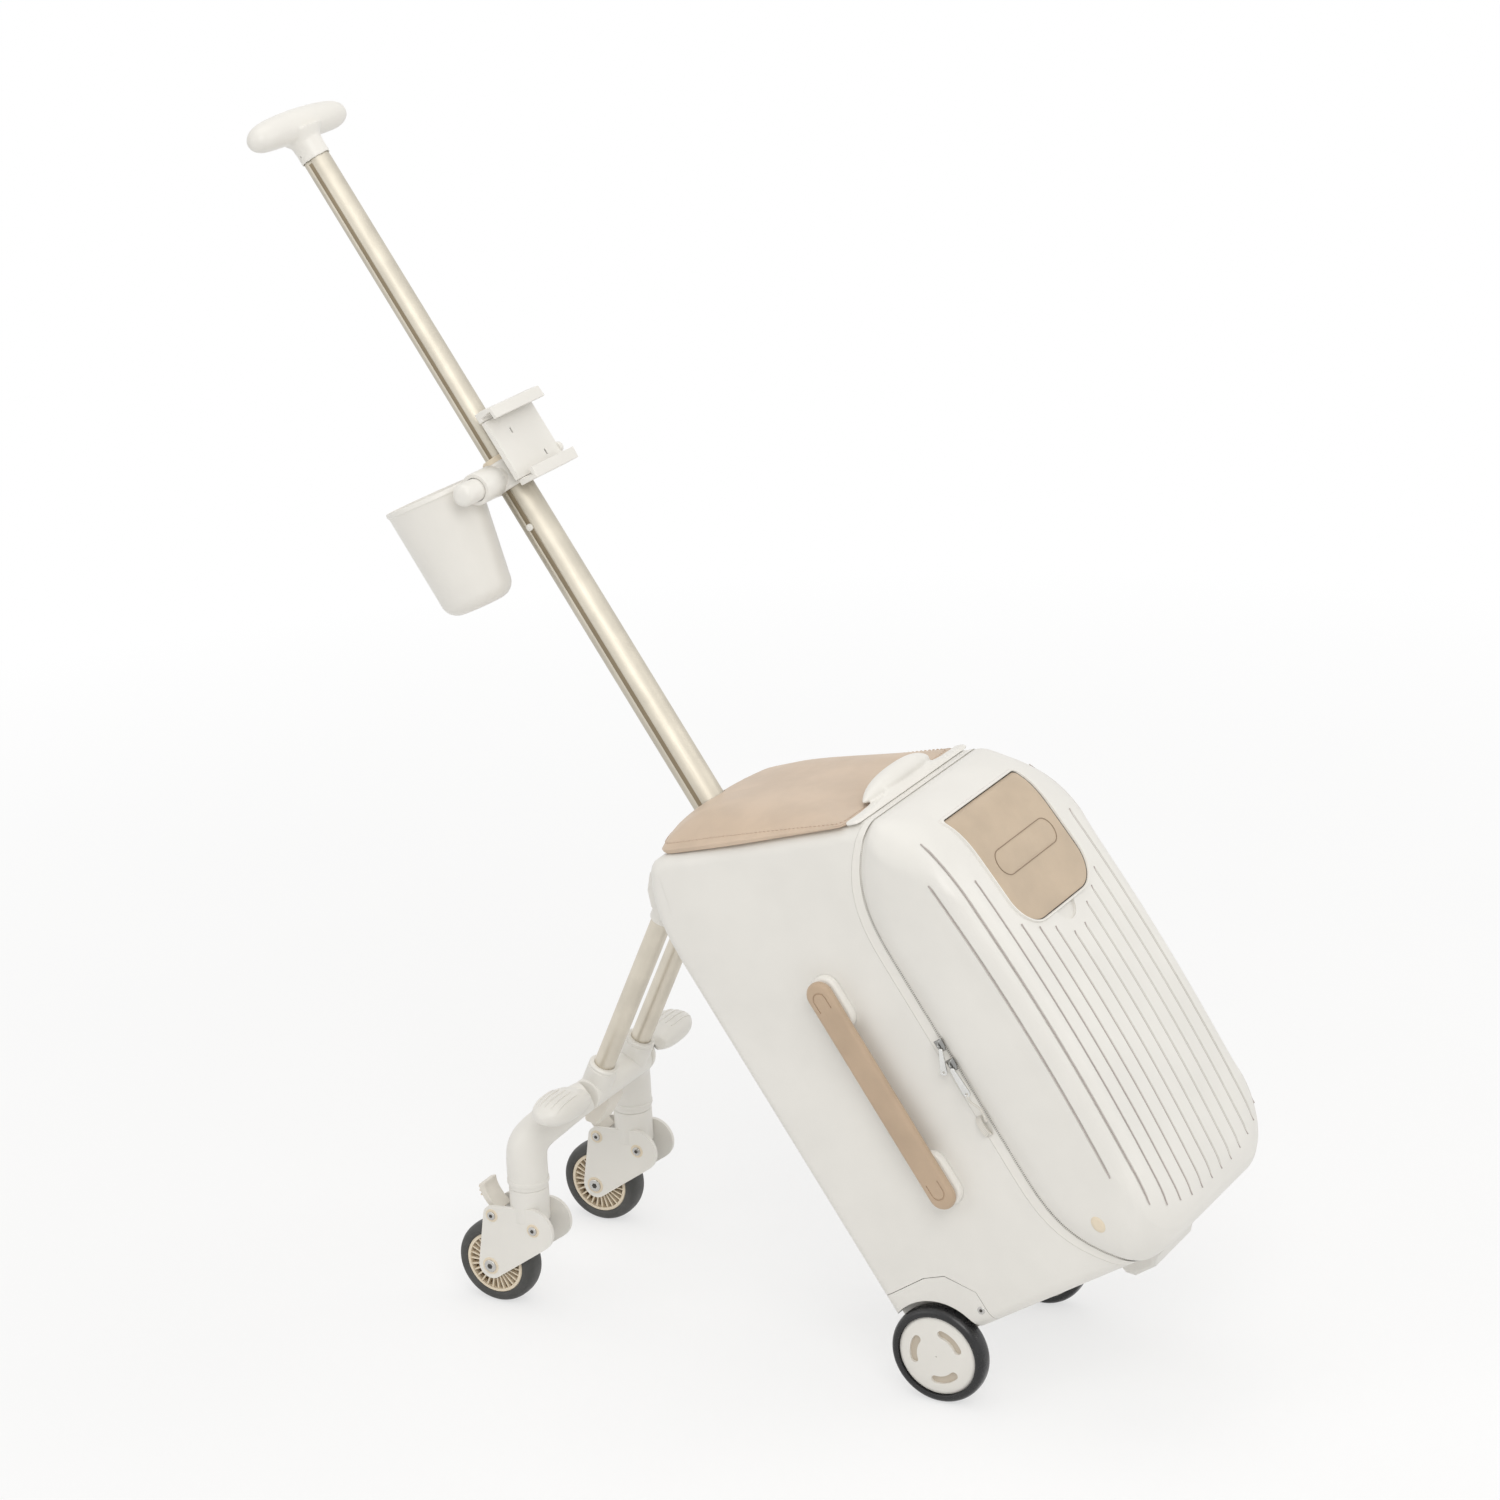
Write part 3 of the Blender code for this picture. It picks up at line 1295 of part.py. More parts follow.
def pedal_body(sign):
    rings = []
    for f in (-1.0, -0.9, -0.7, -0.4, 0.0, 0.4, 0.7, 0.9, 1.0):
        x = sign * (PEDAL_X + f * PEDAL_HALF_L)
        full = (1 - abs(f) ** 2.6) ** 0.5
        full = max(full, 0.28)
        wide = PEDAL_HALF_W * (0.55 + 0.45 * full) if f < 0 else PEDAL_HALF_W * full
        high = PEDAL_HALF_H * full
        ring = []
        for c, s in circle(1.0, 16):
            px = math.copysign(abs(c) ** 0.8, c)
            pz = math.copysign(abs(s) ** 0.8, s)
            ring.append((x, PEDAL_Y + wide * px, PEDAL_Z + high * pz + 0.001 * f))
        rings.append(ring)
    return loft(rings)


def make_pedal(side, sign, bar_y, bar_z, hinge):
    # The inner end is cleared for the arm all the way through the fold.
    pedal = add("foot_pedal_" + side, pedal_body(sign), trim_white("pedal_white_" + side), None)
    to_hinge = Matrix.Translation(hinge.location)
    for angle in range(0, PEDAL_FOLD + 1, PEDAL_STEP):
        clear = sweep(arm_path(sign, bar_y, bar_z), arm_radii(PEDAL_CLEAR))
        turn = Matrix.Rotation(sign * math.radians(angle), 4, "Y")
        clear.transform(to_hinge @ turn @ to_hinge.inverted())
        cut(pedal, tool("pedal_clear_%s_%d" % (side, angle), clear))
    hang(pedal, hinge)


def make_caster(side, sign, parent, wheel_parent, brake_parent):
    # Modelled about the swivel axis, with heights above the floor.
    fork_white = trim_white("fork_white_" + side)
    outline = hull_outline([(DRUM_Y, DRUM_Z, DRUM_R), (REAR_Y, REAR_Z, REAR_R), (TRAIL, CASTER_R, TOE_R)])
    fork = add("fork_" + side, prism_x(outline, FORK_IN, FORK_IN + FORK_T), fork_white, parent)
    other = tool("fork_cheek_" + side, prism_x(outline, -FORK_IN - FORK_T, -FORK_IN), parent)
    reach = FORK_IN + FORK_T - 0.0008
    barrel = cylinder_x(DRUM_R - 0.0006, -reach, reach, ROUND, DRUM_Y, DRUM_Z)
    drum = tool("fork_drum_" + side, barrel, parent)
    head_top = SLEEVE_BOTTOM - GAP
    head = tool("fork_head_" + side, cylinder(FORK_HEAD_R, FORK_HEAD_Z - 0.010, head_top), parent)
    stem = tool("fork_stem_" + side, cylinder(STEM_R, FORK_HEAD_Z, STEM_TOP, 16), parent)
    tyre_r = CASTER_R + 0.0016
    wheel_room = cylinder_x(tyre_r, -FORK_IN, FORK_IN, FINE, TRAIL, CASTER_R)
    unite(fork, drum, other, head, stem)
    cut(fork, tool("fork_wheel_room_" + side, wheel_room, parent))
    bore = cylinder_x(CASTER_AXLE_R + GAP, -0.03, 0.03, 16, TRAIL, CASTER_R)
    pin_y = REAR_Y + BRAKE_PIN_UP
    pin_z = REAR_Z + BRAKE_PIN_UP
    pin_bore = cylinder_x(BRAKE_PIN_R + GAP, -0.03, 0.03, 12, pin_y, pin_z)
    cut(fork, tool("fork_axle_bore_" + side, bore, parent), tool("fork_pin_bore_" + side, pin_bore, parent))
    ear = FORK_IN + FORK_T + 0.0012
    pin = cylinder_x(CASTER_AXLE_R, -ear, ear, 16, TRAIL, CASTER_R)
    add("caster_axle_" + side, pin, steel("caster_steel_" + side), parent)

    half = CASTER_W / 2
    rim = CASTER_HUB_R
    tyre = turned(
        [
            (rim + GAP, -half + 0.001),
            (CASTER_R - 0.0060, -half),
            (CASTER_R - 0.0018, -half * 0.62),
            (CASTER_R, -half * 0.2),
            (CASTER_R, half * 0.2),
            (CASTER_R - 0.0018, half * 0.62),
            (CASTER_R - 0.0060, half),
            (rim + GAP, half - 0.001),
        ],
        FINE,
        "x",
    )
    add("caster_tyre_" + side, tyre, dark_rubber("caster_rubber_" + side), wheel_parent)
    bore = CASTER_AXLE_R + GAP
    edge = half - 0.0012
    hub = turned(
        [
            (bore, -edge),
            (0.0085, -edge),
            (0.0085, -0.003),
            (rim - 0.0022, -0.003),
            (rim - 0.0022, -edge),
            (rim, -edge),
            (rim, edge),
            (rim - 0.0022, edge),
            (rim - 0.0022, 0.003),
            (0.0085, 0.003),
            (0.0085, edge),
            (bore, edge),
        ],
        FINE,
        "x",
    )
    add("caster_hub_" + side, hub, cream("caster_hub_cream_" + side), wheel_parent)

    lever = [
        (-0.0045, -0.0035),
        (0.0035, -0.0035),
        (0.0160, 0.0070),
        (0.0170, 0.0220),
        (0.0120, 0.0270),
        (0.0000, 0.0240),
        (-0.0060, 0.0110),
    ]
    paddle = prism_x(lever, -BRAKE_HALF_W, BRAKE_HALF_W)
    brake = add("brake_lever_" + side, paddle, cream("brake_cream_" + side), brake_parent)
    room = cylinder(FORK_HEAD_R + 0.001, 0.0, 0.2)
    cut(brake, tool("brake_room_" + side, room, parent))
    pin = cylinder_x(BRAKE_PIN_R, -ear, ear, 12, BRAKE_PIN_UP, BRAKE_PIN_UP)
    unite(brake, tool("brake_pin_" + side, pin, brake_parent))


def main():
    remove_everything()
    frame = empty("case_frame", (0, 0, WHEEL_R), -CASE_TILT)
    pole = empty("pole_frame", (0, -POLE_DEPTH, 0), 0, frame)
    make_case(frame)
    lid_hinge = empty("lid_hinge", (CASE_HALF_W, -ZIP_DEPTH, ZIP_MID_Z), 0, frame)
    flap_hinge = empty("flap_hinge", (0, -FLAP_HINGE_DEPTH, FLAP_TOP_Z), 0, frame)
    hang(make_lid(frame), lid_hinge)
    hang(make_flap(frame), flap_hinge)
    hang(make_tray(frame), lid_hinge)
    make_seat(frame)
    make_grab_bar(frame)
    make_pole_guide(frame)
    make_lower_pole(pole)
    make_upper_pole(pole)
    make_clamp(pole)
    cup_pivot = empty("cup_pivot", (0, 0, CLAMP_Z), CUP_LEAN, pole)
    make_cup(pole, cup_pivot)
    phone_pivot = empty("phone_pivot", (0, 0, CLAMP_Z), 0, pole)
    make_phone_holder(pole, phone_pivot, phone_pivot)
    make_carry_handle(frame)
    make_zip_parts(frame)
    make_foot(frame)
    make_hinge_housing(frame)
    for side, sign in (("right", -1), ("left", 1)):
        make_wheel_housing(side, sign, frame)
        make_wheel(side, sign, frame)

    pivot = case_point(0, PIVOT_DEPTH, PIVOT_Z)
    foot = Vector((0, LEG_FOOT_Y, LEG_FOOT_Z))
    reach = foot - pivot
    lean = math.atan2(reach.y, -reach.z)
    leg = empty("leg_frame", pivot, lean)
    drop = make_leg(leg, reach.length)
    bar_y = pivot.y - drop * math.sin(lean)
    bar_z = pivot.z + drop * math.cos(lean)
    make_hook(bar_y, bar_z)
    for side, sign in (("right", -1), ("left", 1)):
        make_arm(side, sign, bar_y, bar_z)
        hinge = empty("pedal_hinge_" + side, (sign * PEDAL_HINGE_X, PEDAL_Y, PEDAL_Z))
        make_pedal(side, sign, bar_y, bar_z, hinge)
        swivel = empty("swivel_" + side, (sign * CASTER_X, SWIVEL_Y, 0))
        spin = empty("spin_" + side, (0, TRAIL, CASTER_R), 0, swivel)
        brake = empty("brake_" + side, (0, REAR_Y, REAR_Z), 0, swivel)
        make_caster(side, sign, swivel, spin, brake)
    for item in bpy.data.objects:
        if item.parent is None:
            item.location.y -= MIDDLE_Y


main()
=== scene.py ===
# Looks for the ride-on suitcase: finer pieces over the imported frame, materials, light and camera.
# Pieces are modelled in the same local frames as the solids, then moved to the riding pose.
import math

import bmesh
import bpy
import numpy as np
from mathutils import Matrix, Vector
from mathutils.bvhtree import BVHTree


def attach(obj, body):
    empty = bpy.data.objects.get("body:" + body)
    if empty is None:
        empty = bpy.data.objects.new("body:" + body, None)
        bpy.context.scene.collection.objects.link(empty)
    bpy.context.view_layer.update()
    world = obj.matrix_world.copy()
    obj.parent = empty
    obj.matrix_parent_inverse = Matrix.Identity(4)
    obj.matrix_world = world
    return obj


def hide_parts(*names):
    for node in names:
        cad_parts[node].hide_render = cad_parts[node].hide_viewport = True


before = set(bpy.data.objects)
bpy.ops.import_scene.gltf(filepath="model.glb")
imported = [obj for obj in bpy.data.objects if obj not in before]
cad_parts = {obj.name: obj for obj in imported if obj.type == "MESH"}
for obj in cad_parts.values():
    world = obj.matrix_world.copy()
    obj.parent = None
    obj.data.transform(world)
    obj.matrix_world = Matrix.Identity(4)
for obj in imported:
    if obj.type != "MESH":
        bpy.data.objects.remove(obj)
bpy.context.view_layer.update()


# Sizes shared with the solids
CASE_TILT = math.radians(33.6)
MIDDLE_Y = 0.2187
GAP = 0.0003
CASE_HALF_W = 0.104
CASE_BACK = -0.022
CASE_EDGE_R = 0.013
BOTTOM_BACK_Z = 0.005
BOTTOM_SLOPE = -0.0275
TOP_REF_DEPTH = 0.055
TOP_REF_Z = 0.481
TOP_SLOPE = -0.306
BACK_BEND_Z = 0.405
BACK_TOP_Z = 0.4935
BACK_TOP_DEPTH = 0.008
FRONT_LIMIT = 0.262
ZIP_DEPTH = 0.176
ZIP_MID_Z = 0.215
ZIP_STRAIGHT = 0.100
ZIP_CURVE = 0.115
ZIP_SWEEP = 0.052
RIM_DEPTH = 0.0095
CHAIN_W = 0.0018
LID_WALL = 0.003
LID_BULGE = 0.0155
LID_FRONT = 0.284
LID_FALL = 0.009
LID_FALL_MID_Z = 0.200
LID_FALL_REACH = 0.180
LID_TOP_Z = 0.428
LID_BOTTOM_Z = -0.0005
FLAP_HALF_W = 0.066
FLAP_TOP_Z = 0.397
FLAP_DROP = 0.112
FLAP_CORNER_R = 0.030
FLAP_T = 0.0032
FLAP_PROUD = 0.0012
NOTCH_R = 0.016
NOTCH_DEPTH = 0.0022
SEAT_BACK_DEPTH = 0.003
SEAT_CORNER_DEPTH = 0.024
SEAT_HALF_W_BACK = 0.097
SEAT_HALF_W = 0.1035
SEAT_FRONT_DEPTH = 0.216
SEAT_HEIGHT = 0.020
PAD_FRONT_DEPTH = 0.2035
PAD_EDGE = 5.0
COVER_RISE = 0.0036
GRAB_DEPTH = 0.206
GRAB_Z = 0.4475
GRAB_HALF_L = 0.060
GRAB_R = 0.0105
GRAB_TIP_R = 0.0035
GRAB_BASE_HALF_W = 0.040
GRAB_BASE_LEN = 0.018
POLE_DEPTH = 0.022
UPPER_R = 0.0122
LOWER_R = 0.0152
LOWER_TOP_Z = 0.857
LOWER_LEN = 0.440
UPPER_TOP_Z = 1.166
UPPER_LEN = 0.410
LOCK_Z = 0.792
SEAL_R = 0.0205
T_Z = 1.190
T_HALF_L = 0.067
T_R_MID = 0.0135
T_R_END = 0.0122
T_NECK_R = 0.0140
BUTTON_R = 0.0085
CLAMP_Z = 0.842
CLAMP_H = 0.026
CLAMP_R = 0.0205
ARM_R = 0.0100
ARM_REACH = 0.078
CUP_X = -0.040
CUP_DEPTH = -0.0345
CUP_RIM_Z = 0.844
CUP_FOOT_R = 0.015
CUP_LEAN = math.radians(8.8)
CUP_R_TOP = 0.0435
CUP_R_BOTTOM = 0.0330
CUP_H = 0.106
CUP_WALL = 0.0022
HOOK_W = 0.028
HOOK_WALL = 0.0035
PLATE_X0 = -0.026
PLATE_X1 = 0.048
PLATE_Z0 = 0.831
PLATE_H = 0.057
PLATE_T = 0.005
JAW_H = 0.009
JAW_REACH = 0.014
JAW_LIP = 0.0035
RUN_GAP = 0.0006
HANDLE_DEPTH = 0.1015
HANDLE_Z0 = 0.126
HANDLE_Z1 = 0.323
HANDLE_R = 0.0126
HANDLE_RISE = 0.0090
HANDLE_T = 0.0085
MOUNT_R = 0.0135
SLIDER_Z = (0.238, 0.219)
SLIDER_L = 0.011
SLIDER_W = 0.0085
SLIDER_T = 0.0042
SLIDER_LIFT = 0.0048
PULL_L = (0.018, 0.024)
PULL_SIDE = (-0.0085, 0.0)
LOOP_DEPTH = 0.1675
LOOP_Z = 0.160
WHEEL_R = 0.045
WHEEL_W = 0.0185
WHEEL_OUT = 0.110
WHEEL_CAP_R = 0.037
ARCH_GAP = 0.005
HOUSING_IN = 0.058
HOUSING_FRONT = 0.068
HOUSING_TOP_Z = 0.065
FOOT_HALF_W = 0.040
FOOT_DEPTH0 = 0.163
FOOT_DEPTH1 = 0.203
FOOT_H = 0.023
PIVOT_DEPTH = -0.0400
PIVOT_Z = 0.456
LEG_FOOT_Y = 0.374
LEG_FOOT_Z = 0.212
LEG_X = 0.032
LEG_R = 0.0095
STUB_R = 0.0118
STUB_LEN = 0.030
HOUSE_HALF_W = 0.050
HOUSE_EAR = 0.0055
HOUSE_PLATE = 0.0035
HOUSE_BACK = -0.055
HOUSE_Z0 = 0.438
HOUSE_Z1 = 0.484
COLLAR_R = 0.0138
COLLAR_UP = 0.014
BAR_R = 0.0145
BAR_HALF_L = 0.047
BAR_DROP = 0.017
HOOK_HALF_W = 0.013
HOOK_T = 0.009
HOOK_DROP = 0.046
HOOK_BACK = 0.016
CASTER_X = 0.0915
SWIVEL_Y = 0.4195
TRAIL = 0.036
CASTER_R = 0.0394
CASTER_W = 0.0245
CASTER_HUB_R = 0.0290
SLEEVE_R = 0.0185
SLEEVE_BOTTOM = 0.1205
ELBOW_Z = 0.150
ARM_TUBE_R = 0.0165
PEDAL_X = 0.093
PEDAL_Y = 0.379
PEDAL_Z = 0.2055
PEDAL_HALF_L = 0.033
PEDAL_HALF_W = 0.019
PEDAL_HALF_H = 0.0125
PEDAL_HINGE_X = 0.0615
PEDAL_FOLD = 75
PEDAL_STEP = 15
PEDAL_CLEAR = 0.0012
FORK_IN = 0.0138
FORK_T = 0.0035
DRUM_Y = -0.0125
DRUM_Z = 0.084
DRUM_R = 0.0205
REAR_Y = 0.031
REAR_Z = 0.091
REAR_R = 0.0090
TOE_R = 0.0125
FORK_HEAD_R = 0.0180
FORK_HEAD_Z = 0.098
BRAKE_HALF_W = 0.0105

# Looks only
GROOVE_AT = (0.010, 0.030, 0.050, 0.070, 0.090, 0.110, 0.130)
GROOVE_TOP = (0.260, 0.273, 0.281, 0.292, 0.344, 0.393, 0.361)
GROOVE_BOTTOM = (0.020, 0.020, 0.022, 0.026, 0.031, 0.041, 0.077)
GROOVE_R = 0.0015
GROOVE_LIFT = 0.0001
# Radius and sink of the bars that paint shade inside the grooves.
GROOVE_SHADE_R = 0.0006
GROOVE_SHADE_SINK = 0.0010
PILL_RUN = 0.039
PILL_R = 0.0116
PILL_Z = 0.341
LID_CORNER_R = 0.0245
LID_HALF_W = CASE_HALF_W + LID_BULGE
LID_CUTS = (16, 60, 46)
GROOVE_STEPS = 46
GROOVE_END_LIFT = 0.0016
CASE_WALL = 0.003
RIM_WALL = 0.006
BACK_CORNER_R = 0.018
EDGE_STEPS = 6
TEETH = 760
TOOTH = (0.00052, 0.00075, 0.0012)
FLAP_SOFT = 0.004
SEAT_MIDDLE = (PAD_FRONT_DEPTH + SEAT_BACK_DEPTH) / 2
STITCH_STEP = 0.0042
STITCH_IN = 0.955
SKIN_VOXEL = 0.0009
SEAM_R = 0.0062
SEAM_LEG = 0.010
CHANNEL_DEPTH = 0.0009
HUB_RIBS = 27
SLOT_RADIUS = 0.0225
SLOT_WIDTH = 0.0072
SLOT_SWEEP = 52
SLOT_START = 43
FLOOR_HALF = 40.0
TEETH_AIM_Z = 0.214
WINDOW_GROW = 0.0009
WINDOW_Y = (-0.35, -0.235)
DOT_AT = (-0.0945, -0.215, 0.046)
DOT_WAY = (-0.94, -0.34, 0)
DOT_TALL = 1.25
STITCH_SHARE = 0.62
RIB_R = 0.0009
JAW_EDGE = 0.0009
POLE_GROOVE = (0.0026, 0.0022)
POLE_EDGE = 1.25
HOUSE_EDGE = 0.0022
FORK_EDGE = 0.0012
FOOT_EDGE = 0.004
SOCKET_SHARE = 0.45
WHEEL_EDGE = 0.0007
AXLE_BORE = 0.0044
HUB_BORE = 0.0048
CORNER_SCREW = (-0.063, 0.0190)

# Profiles: how far outwards or inwards, and the lift there
DOT_STEPS = ((0.0058, -0.0008), (0.0062, 0.0001), (0.0058, 0.0006), (0.0030, 0.0009), (0.0006, 0.0010))
PILL_STEPS = ((0.0, -0.0004), (0.0001, 0.0004), (0.0008, 0.0004), (0.0009, -0.0004))
FLAP_GAP = ((0.0001, -0.0004), (0.0004, 0.0002), (0.0008, 0.0002), (0.0010, -0.0020), (0.0001, -0.0020))
FLAP_FRAME = (
    (0.0010, -0.0022),
    (0.0010, 0.0014),
    (0.0015, 0.0021),
    (0.0026, 0.0020),
    (0.0034, 0.0),
    (0.0030, -0.0022),
)
WELT = ((0.985, -0.0002), (0.992, -0.0002), (0.996, 0.0004), (0.996, 0.0012), (0.992, 0.0018), (0.985, 0.0018))
COVER = ((1.0, 0.0), (1.0, 0.25), (0.985, 0.55), (0.95, 0.8), (0.88, 0.95), (0.7, 1.0), (0.4, 1.0), (0.1, 1.0))
MOUNT_STEPS = ((0.0, 0.0003), (0.0, 0.0045), (0.0008, 0.0062), (0.0024, 0.0072), (0.0050, 0.0075))
SLIDER_STEPS = ((0.0006, 0.0), (0.0, 0.0006), (0.0, 0.0020), (0.0010, 0.0030), (0.0026, 0.0036))
SLIDER_SHAPE = ((-1, 1), (-0.9, -0.35), (-0.45, -1), (0.45, -1), (0.9, -0.35), (1, 1))
TIE_DROPS = ((-0.0052, 0.0, 0.027), (-0.0050, 0.0015, 0.034), (-0.0020, -0.0010, 0.044), (-0.0010, 0.0008, 0.056))
STOP = ((0.0032, 0.0), (0.0032, 0.0032), (0.0028, 0.0038), (0.0016, 0.0042))
BAND_STEPS = ((0.0, 0.004), (0.0006, 0.0045), (0.0006, 0.0075), (0.0, 0.008))
BRAKE_CURVE = ((-0.002, 0.002), (0.006, 0.009), (0.012, 0.019), (0.0135, 0.0265))
BRAKE_RIBS = ((0.0158, 0.0140), (0.0168, 0.0180), (0.0172, 0.0220))

# Camera, found from the photograph
CAM_LOOK = Vector((0.0, 0.135 - MIDDLE_Y, 0.45))
CAM_DISTANCE = 3.6876
CAM_UP_ANGLE = math.radians(21.2371)
CAM_TURN = math.radians(29.1203)
CAM_ROLL = math.radians(-2.4381)
CAM_LENS = 102.70
CAM_SHIFT = (-0.0598, 0.0693)


def move(x, y, z):
    return Matrix.Translation((x, y, z))


def turn_x(angle):
    return Matrix.Rotation(angle, 4, "X")


WORLD = move(0, -MIDDLE_Y, 0)
CASE = WORLD @ move(0, 0, WHEEL_R) @ turn_x(-CASE_TILT)
POLE = CASE @ move(0, -POLE_DEPTH, 0)
CLAMP = POLE @ move(0, 0, CLAMP_Z)
CUP = CLAMP @ turn_x(CUP_LEAN)
LEG_PIVOT = CASE @ Vector((0, -PIVOT_DEPTH, PIVOT_Z))
LEG_REACH = WORLD @ Vector((0, LEG_FOOT_Y, LEG_FOOT_Z)) - LEG_PIVOT
LEG_LEAN = math.atan2(LEG_REACH.y, -LEG_REACH.z)
LEG_LEN = LEG_REACH.length
LEG = Matrix.Translation(LEG_PIVOT) @ turn_x(LEG_LEAN)
BAR_LOW = -LEG_LEN - BAR_DROP
BAR_CENTRE = WORLD.inverted() @ (LEG @ Vector((0, 0, BAR_LOW)))
SIDES = (("right", -1), ("left", 1))
MIRROR = Matrix.Scale(-1, 4, (1, 0, 0))


def swivel(sign):
    return WORLD @ move(sign * CASTER_X, SWIVEL_Y, 0)


# Points and outlines


def arc(x, y, r, start, turn, steps):
    # Points on an arc about (x, y); start and turn are in degrees.
    angles = [math.radians(start + turn * k / steps) for k in range(steps + 1)]
    return [(x + r * math.cos(a), y + r * math.sin(a)) for a in angles]


def circle(count):
    angles = [2 * math.pi * i / count for i in range(count)]
    return [(math.cos(a), math.sin(a)) for a in angles]


def ends(steps):
    # Stations from -1 to 1, closer together towards both ends.
    return [math.sin(math.pi / 2 * k / steps) for k in range(-steps, steps + 1)]


def disc(r, h0, h1, edge):
    # (radius, height) profile of a solid disc with rounded edges.
    return arc(r - edge, h0 + edge, edge, -90, 90, 4) + arc(r - edge, h1 - edge, edge, 0, 90, 4)


def smooth_path(points, steps):
    # Catmull-Rom curve through the points.
    path = [np.array(p, dtype=float) for p in points]
    path = [2 * path[0] - path[1]] + path + [2 * path[-1] - path[-2]]
    made = []
    for i in range(1, len(path) - 2):
        a, b, c, d = path[i - 1 : i + 3]
        square = 2 * a - 5 * b + 4 * c - d
        cube = 3 * b - 3 * c + d - a
        for t in [k / steps for k in range(steps)]:
            made.append(0.5 * (2 * b + (c - a) * t + square * t**2 + cube * t**3))
    made.append(path[-2])
    return made


def hull_outline(circles, step=5):
    # Outline of a band stretched round (y, z, radius) circles.
    points = sorted(p for y, z, r in circles for p in arc(y, z, r, 0, 360 - step, 360 // step - 1))

    def turn(a, b, c):
        return (b[0] - a[0]) * (c[1] - a[1]) - (b[1] - a[1]) * (c[0] - a[0])

    def half(items):
        chain = []
        for p in items:
            while len(chain) > 1 and turn(chain[-2], chain[-1], p) <= 1e-12:
                chain.pop()
            chain.append(p)
        return chain[:-1]

    return half(points) + half(points[::-1])


def inset(outline, amount):
    # The outline moved inwards, corner by corner.
    if amount == 0:
        return outline
    made = []
    for i, corner in enumerate(outline):
        at = Vector(corner)
        before = (at - Vector(outline[i - 1])).normalized()
        after = (Vector(outline[(i + 1) % len(outline)]) - at).normalized()
        normal = Vector((-before.y, before.x))
        middle = (normal + Vector((-after.y, after.x))).normalized()
        made.append(tuple(at + middle * (amount / max(0.3, middle.dot(normal)))))
    return made


def divided(outline, step, plain=None):
    # Cuts long edges into parts of about one step, counted on the plain outline where there is one.
    plain = plain or outline
    made = []
    for i, (x, y) in enumerate(outline):
        j = (i + 1) % len(outline)
        length = math.hypot(plain[j][0] - plain[i][0], plain[j][1] - plain[i][1])
        parts = max(1, int(length / step))
        dx, dy = outline[j][0] - x, outline[j][1] - y
        made += [(x + dx * k / parts, y + dy * k / parts) for k in range(parts)]
    return made


# Meshes


def band(bm, low, high):
    for i in range(len(low)):
        j = (i + 1) % len(low)
        bm.faces.new((low[i], low[j], high[j], high[i]))


def loft(rings, caps=True, closed=False):
    # Skin over rings of points; closed joins the last ring to the first.
    bm = bmesh.new()
    loops = [[bm.verts.new(p) for p in ring] for ring in rings]
    for low, high in zip(loops, loops[1:]):
        band(bm, low, high)
    if closed:
        band(bm, loops[-1], loops[0])
    elif caps:
        bm.faces.new(loops[0][::-1])
        bm.faces.new(loops[-1])
    return bm


def stack_x(layers):
    # Skin over (y, z) outlines, each with its x.
    return loft([[(x, y, z) for y, z in outline] for x, outline in layers])


def prism_x(outline, x0, x1):
    return stack_x([(x0, outline), (x1, outline)])


def prism_y(outline, y0, y1):
    return loft([[(x, y, z) for x, z in outline] for y in (y0, y1)])


def box(x0, x1, y0, y1, z0, z1):
    corners = [(x0, y0), (x1, y0), (x1, y1), (x0, y1)]
    return loft([[(x, y, z) for x, y in corners] for z in (z0, z1)])


def spun(profile, count=64, along="z", closed=False, x=0.0, y=0.0, z=0.0):
    # Turns (radius, height) points about an axis; closed makes a ring with a bore.
    if along == "x":
        rings = [[(x + h, y + r * c, z + r * s) for c, s in circle(count)] for r, h in profile]
    else:
        rings = [[(x + r * c, y + r * s, z + h) for c, s in circle(count)] for r, h in profile]
    return loft(rings, closed=closed)


def sweep(points, radii, count=32):
    # Round bar along the points, with one radius or one for each point.
    path = [Vector(p) for p in points]
    if isinstance(radii, float):
        radii = [radii] * len(path)
    side = None
    rings = []
    for i, p in enumerate(path):
        t = (path[min(i + 1, len(path) - 1)] - path[max(i - 1, 0)]).normalized()
        if side is None:
            side = t.cross(Vector((0.3, 1.0, 0.2))).normalized()
        side = (side - t * side.dot(t)).normalized()
        other = t.cross(side)
        rings.append([p + radii[i] * (c * side + s * other) for c, s in circle(count)])
    return loft(rings)


def merge(*parts):
    joined = bmesh.new()
    for part in parts:
        mesh = bpy.data.meshes.new("joining")
        part.to_mesh(mesh)
        part.free()
        joined.from_mesh(mesh)
        bpy.data.meshes.remove(mesh)
    return joined


def facing(bm, sign):
    # The form, mirrored for the side with the minus sign.
    if sign < 0:
        bm.transform(MIRROR)
    return bm


# Objects


def add_object(name, data):
    made = bpy.data.objects.new(name, data)
    bpy.context.scene.collection.objects.link(made)
    return made


def add_mesh(name, bm, matrix):
    bmesh.ops.recalc_face_normals(bm, faces=bm.faces)
    mesh = bpy.data.meshes.new(name)
    bm.transform(matrix)
    bm.to_mesh(mesh)
    bm.free()
    return add_object(name, mesh)


def shade(mesh, degrees):
    mesh.shade_smooth()
    mesh.set_sharp_from_angle(angle=math.radians(degrees))


def soften(made, width, segments=3, angle=30, harden=True):
    change = made.modifiers.new("edges", "BEVEL")
    change.width = width
    change.segments = segments
    change.limit_method = "ANGLE"
    change.angle_limit = math.radians(angle)
    change.harden_normals = harden


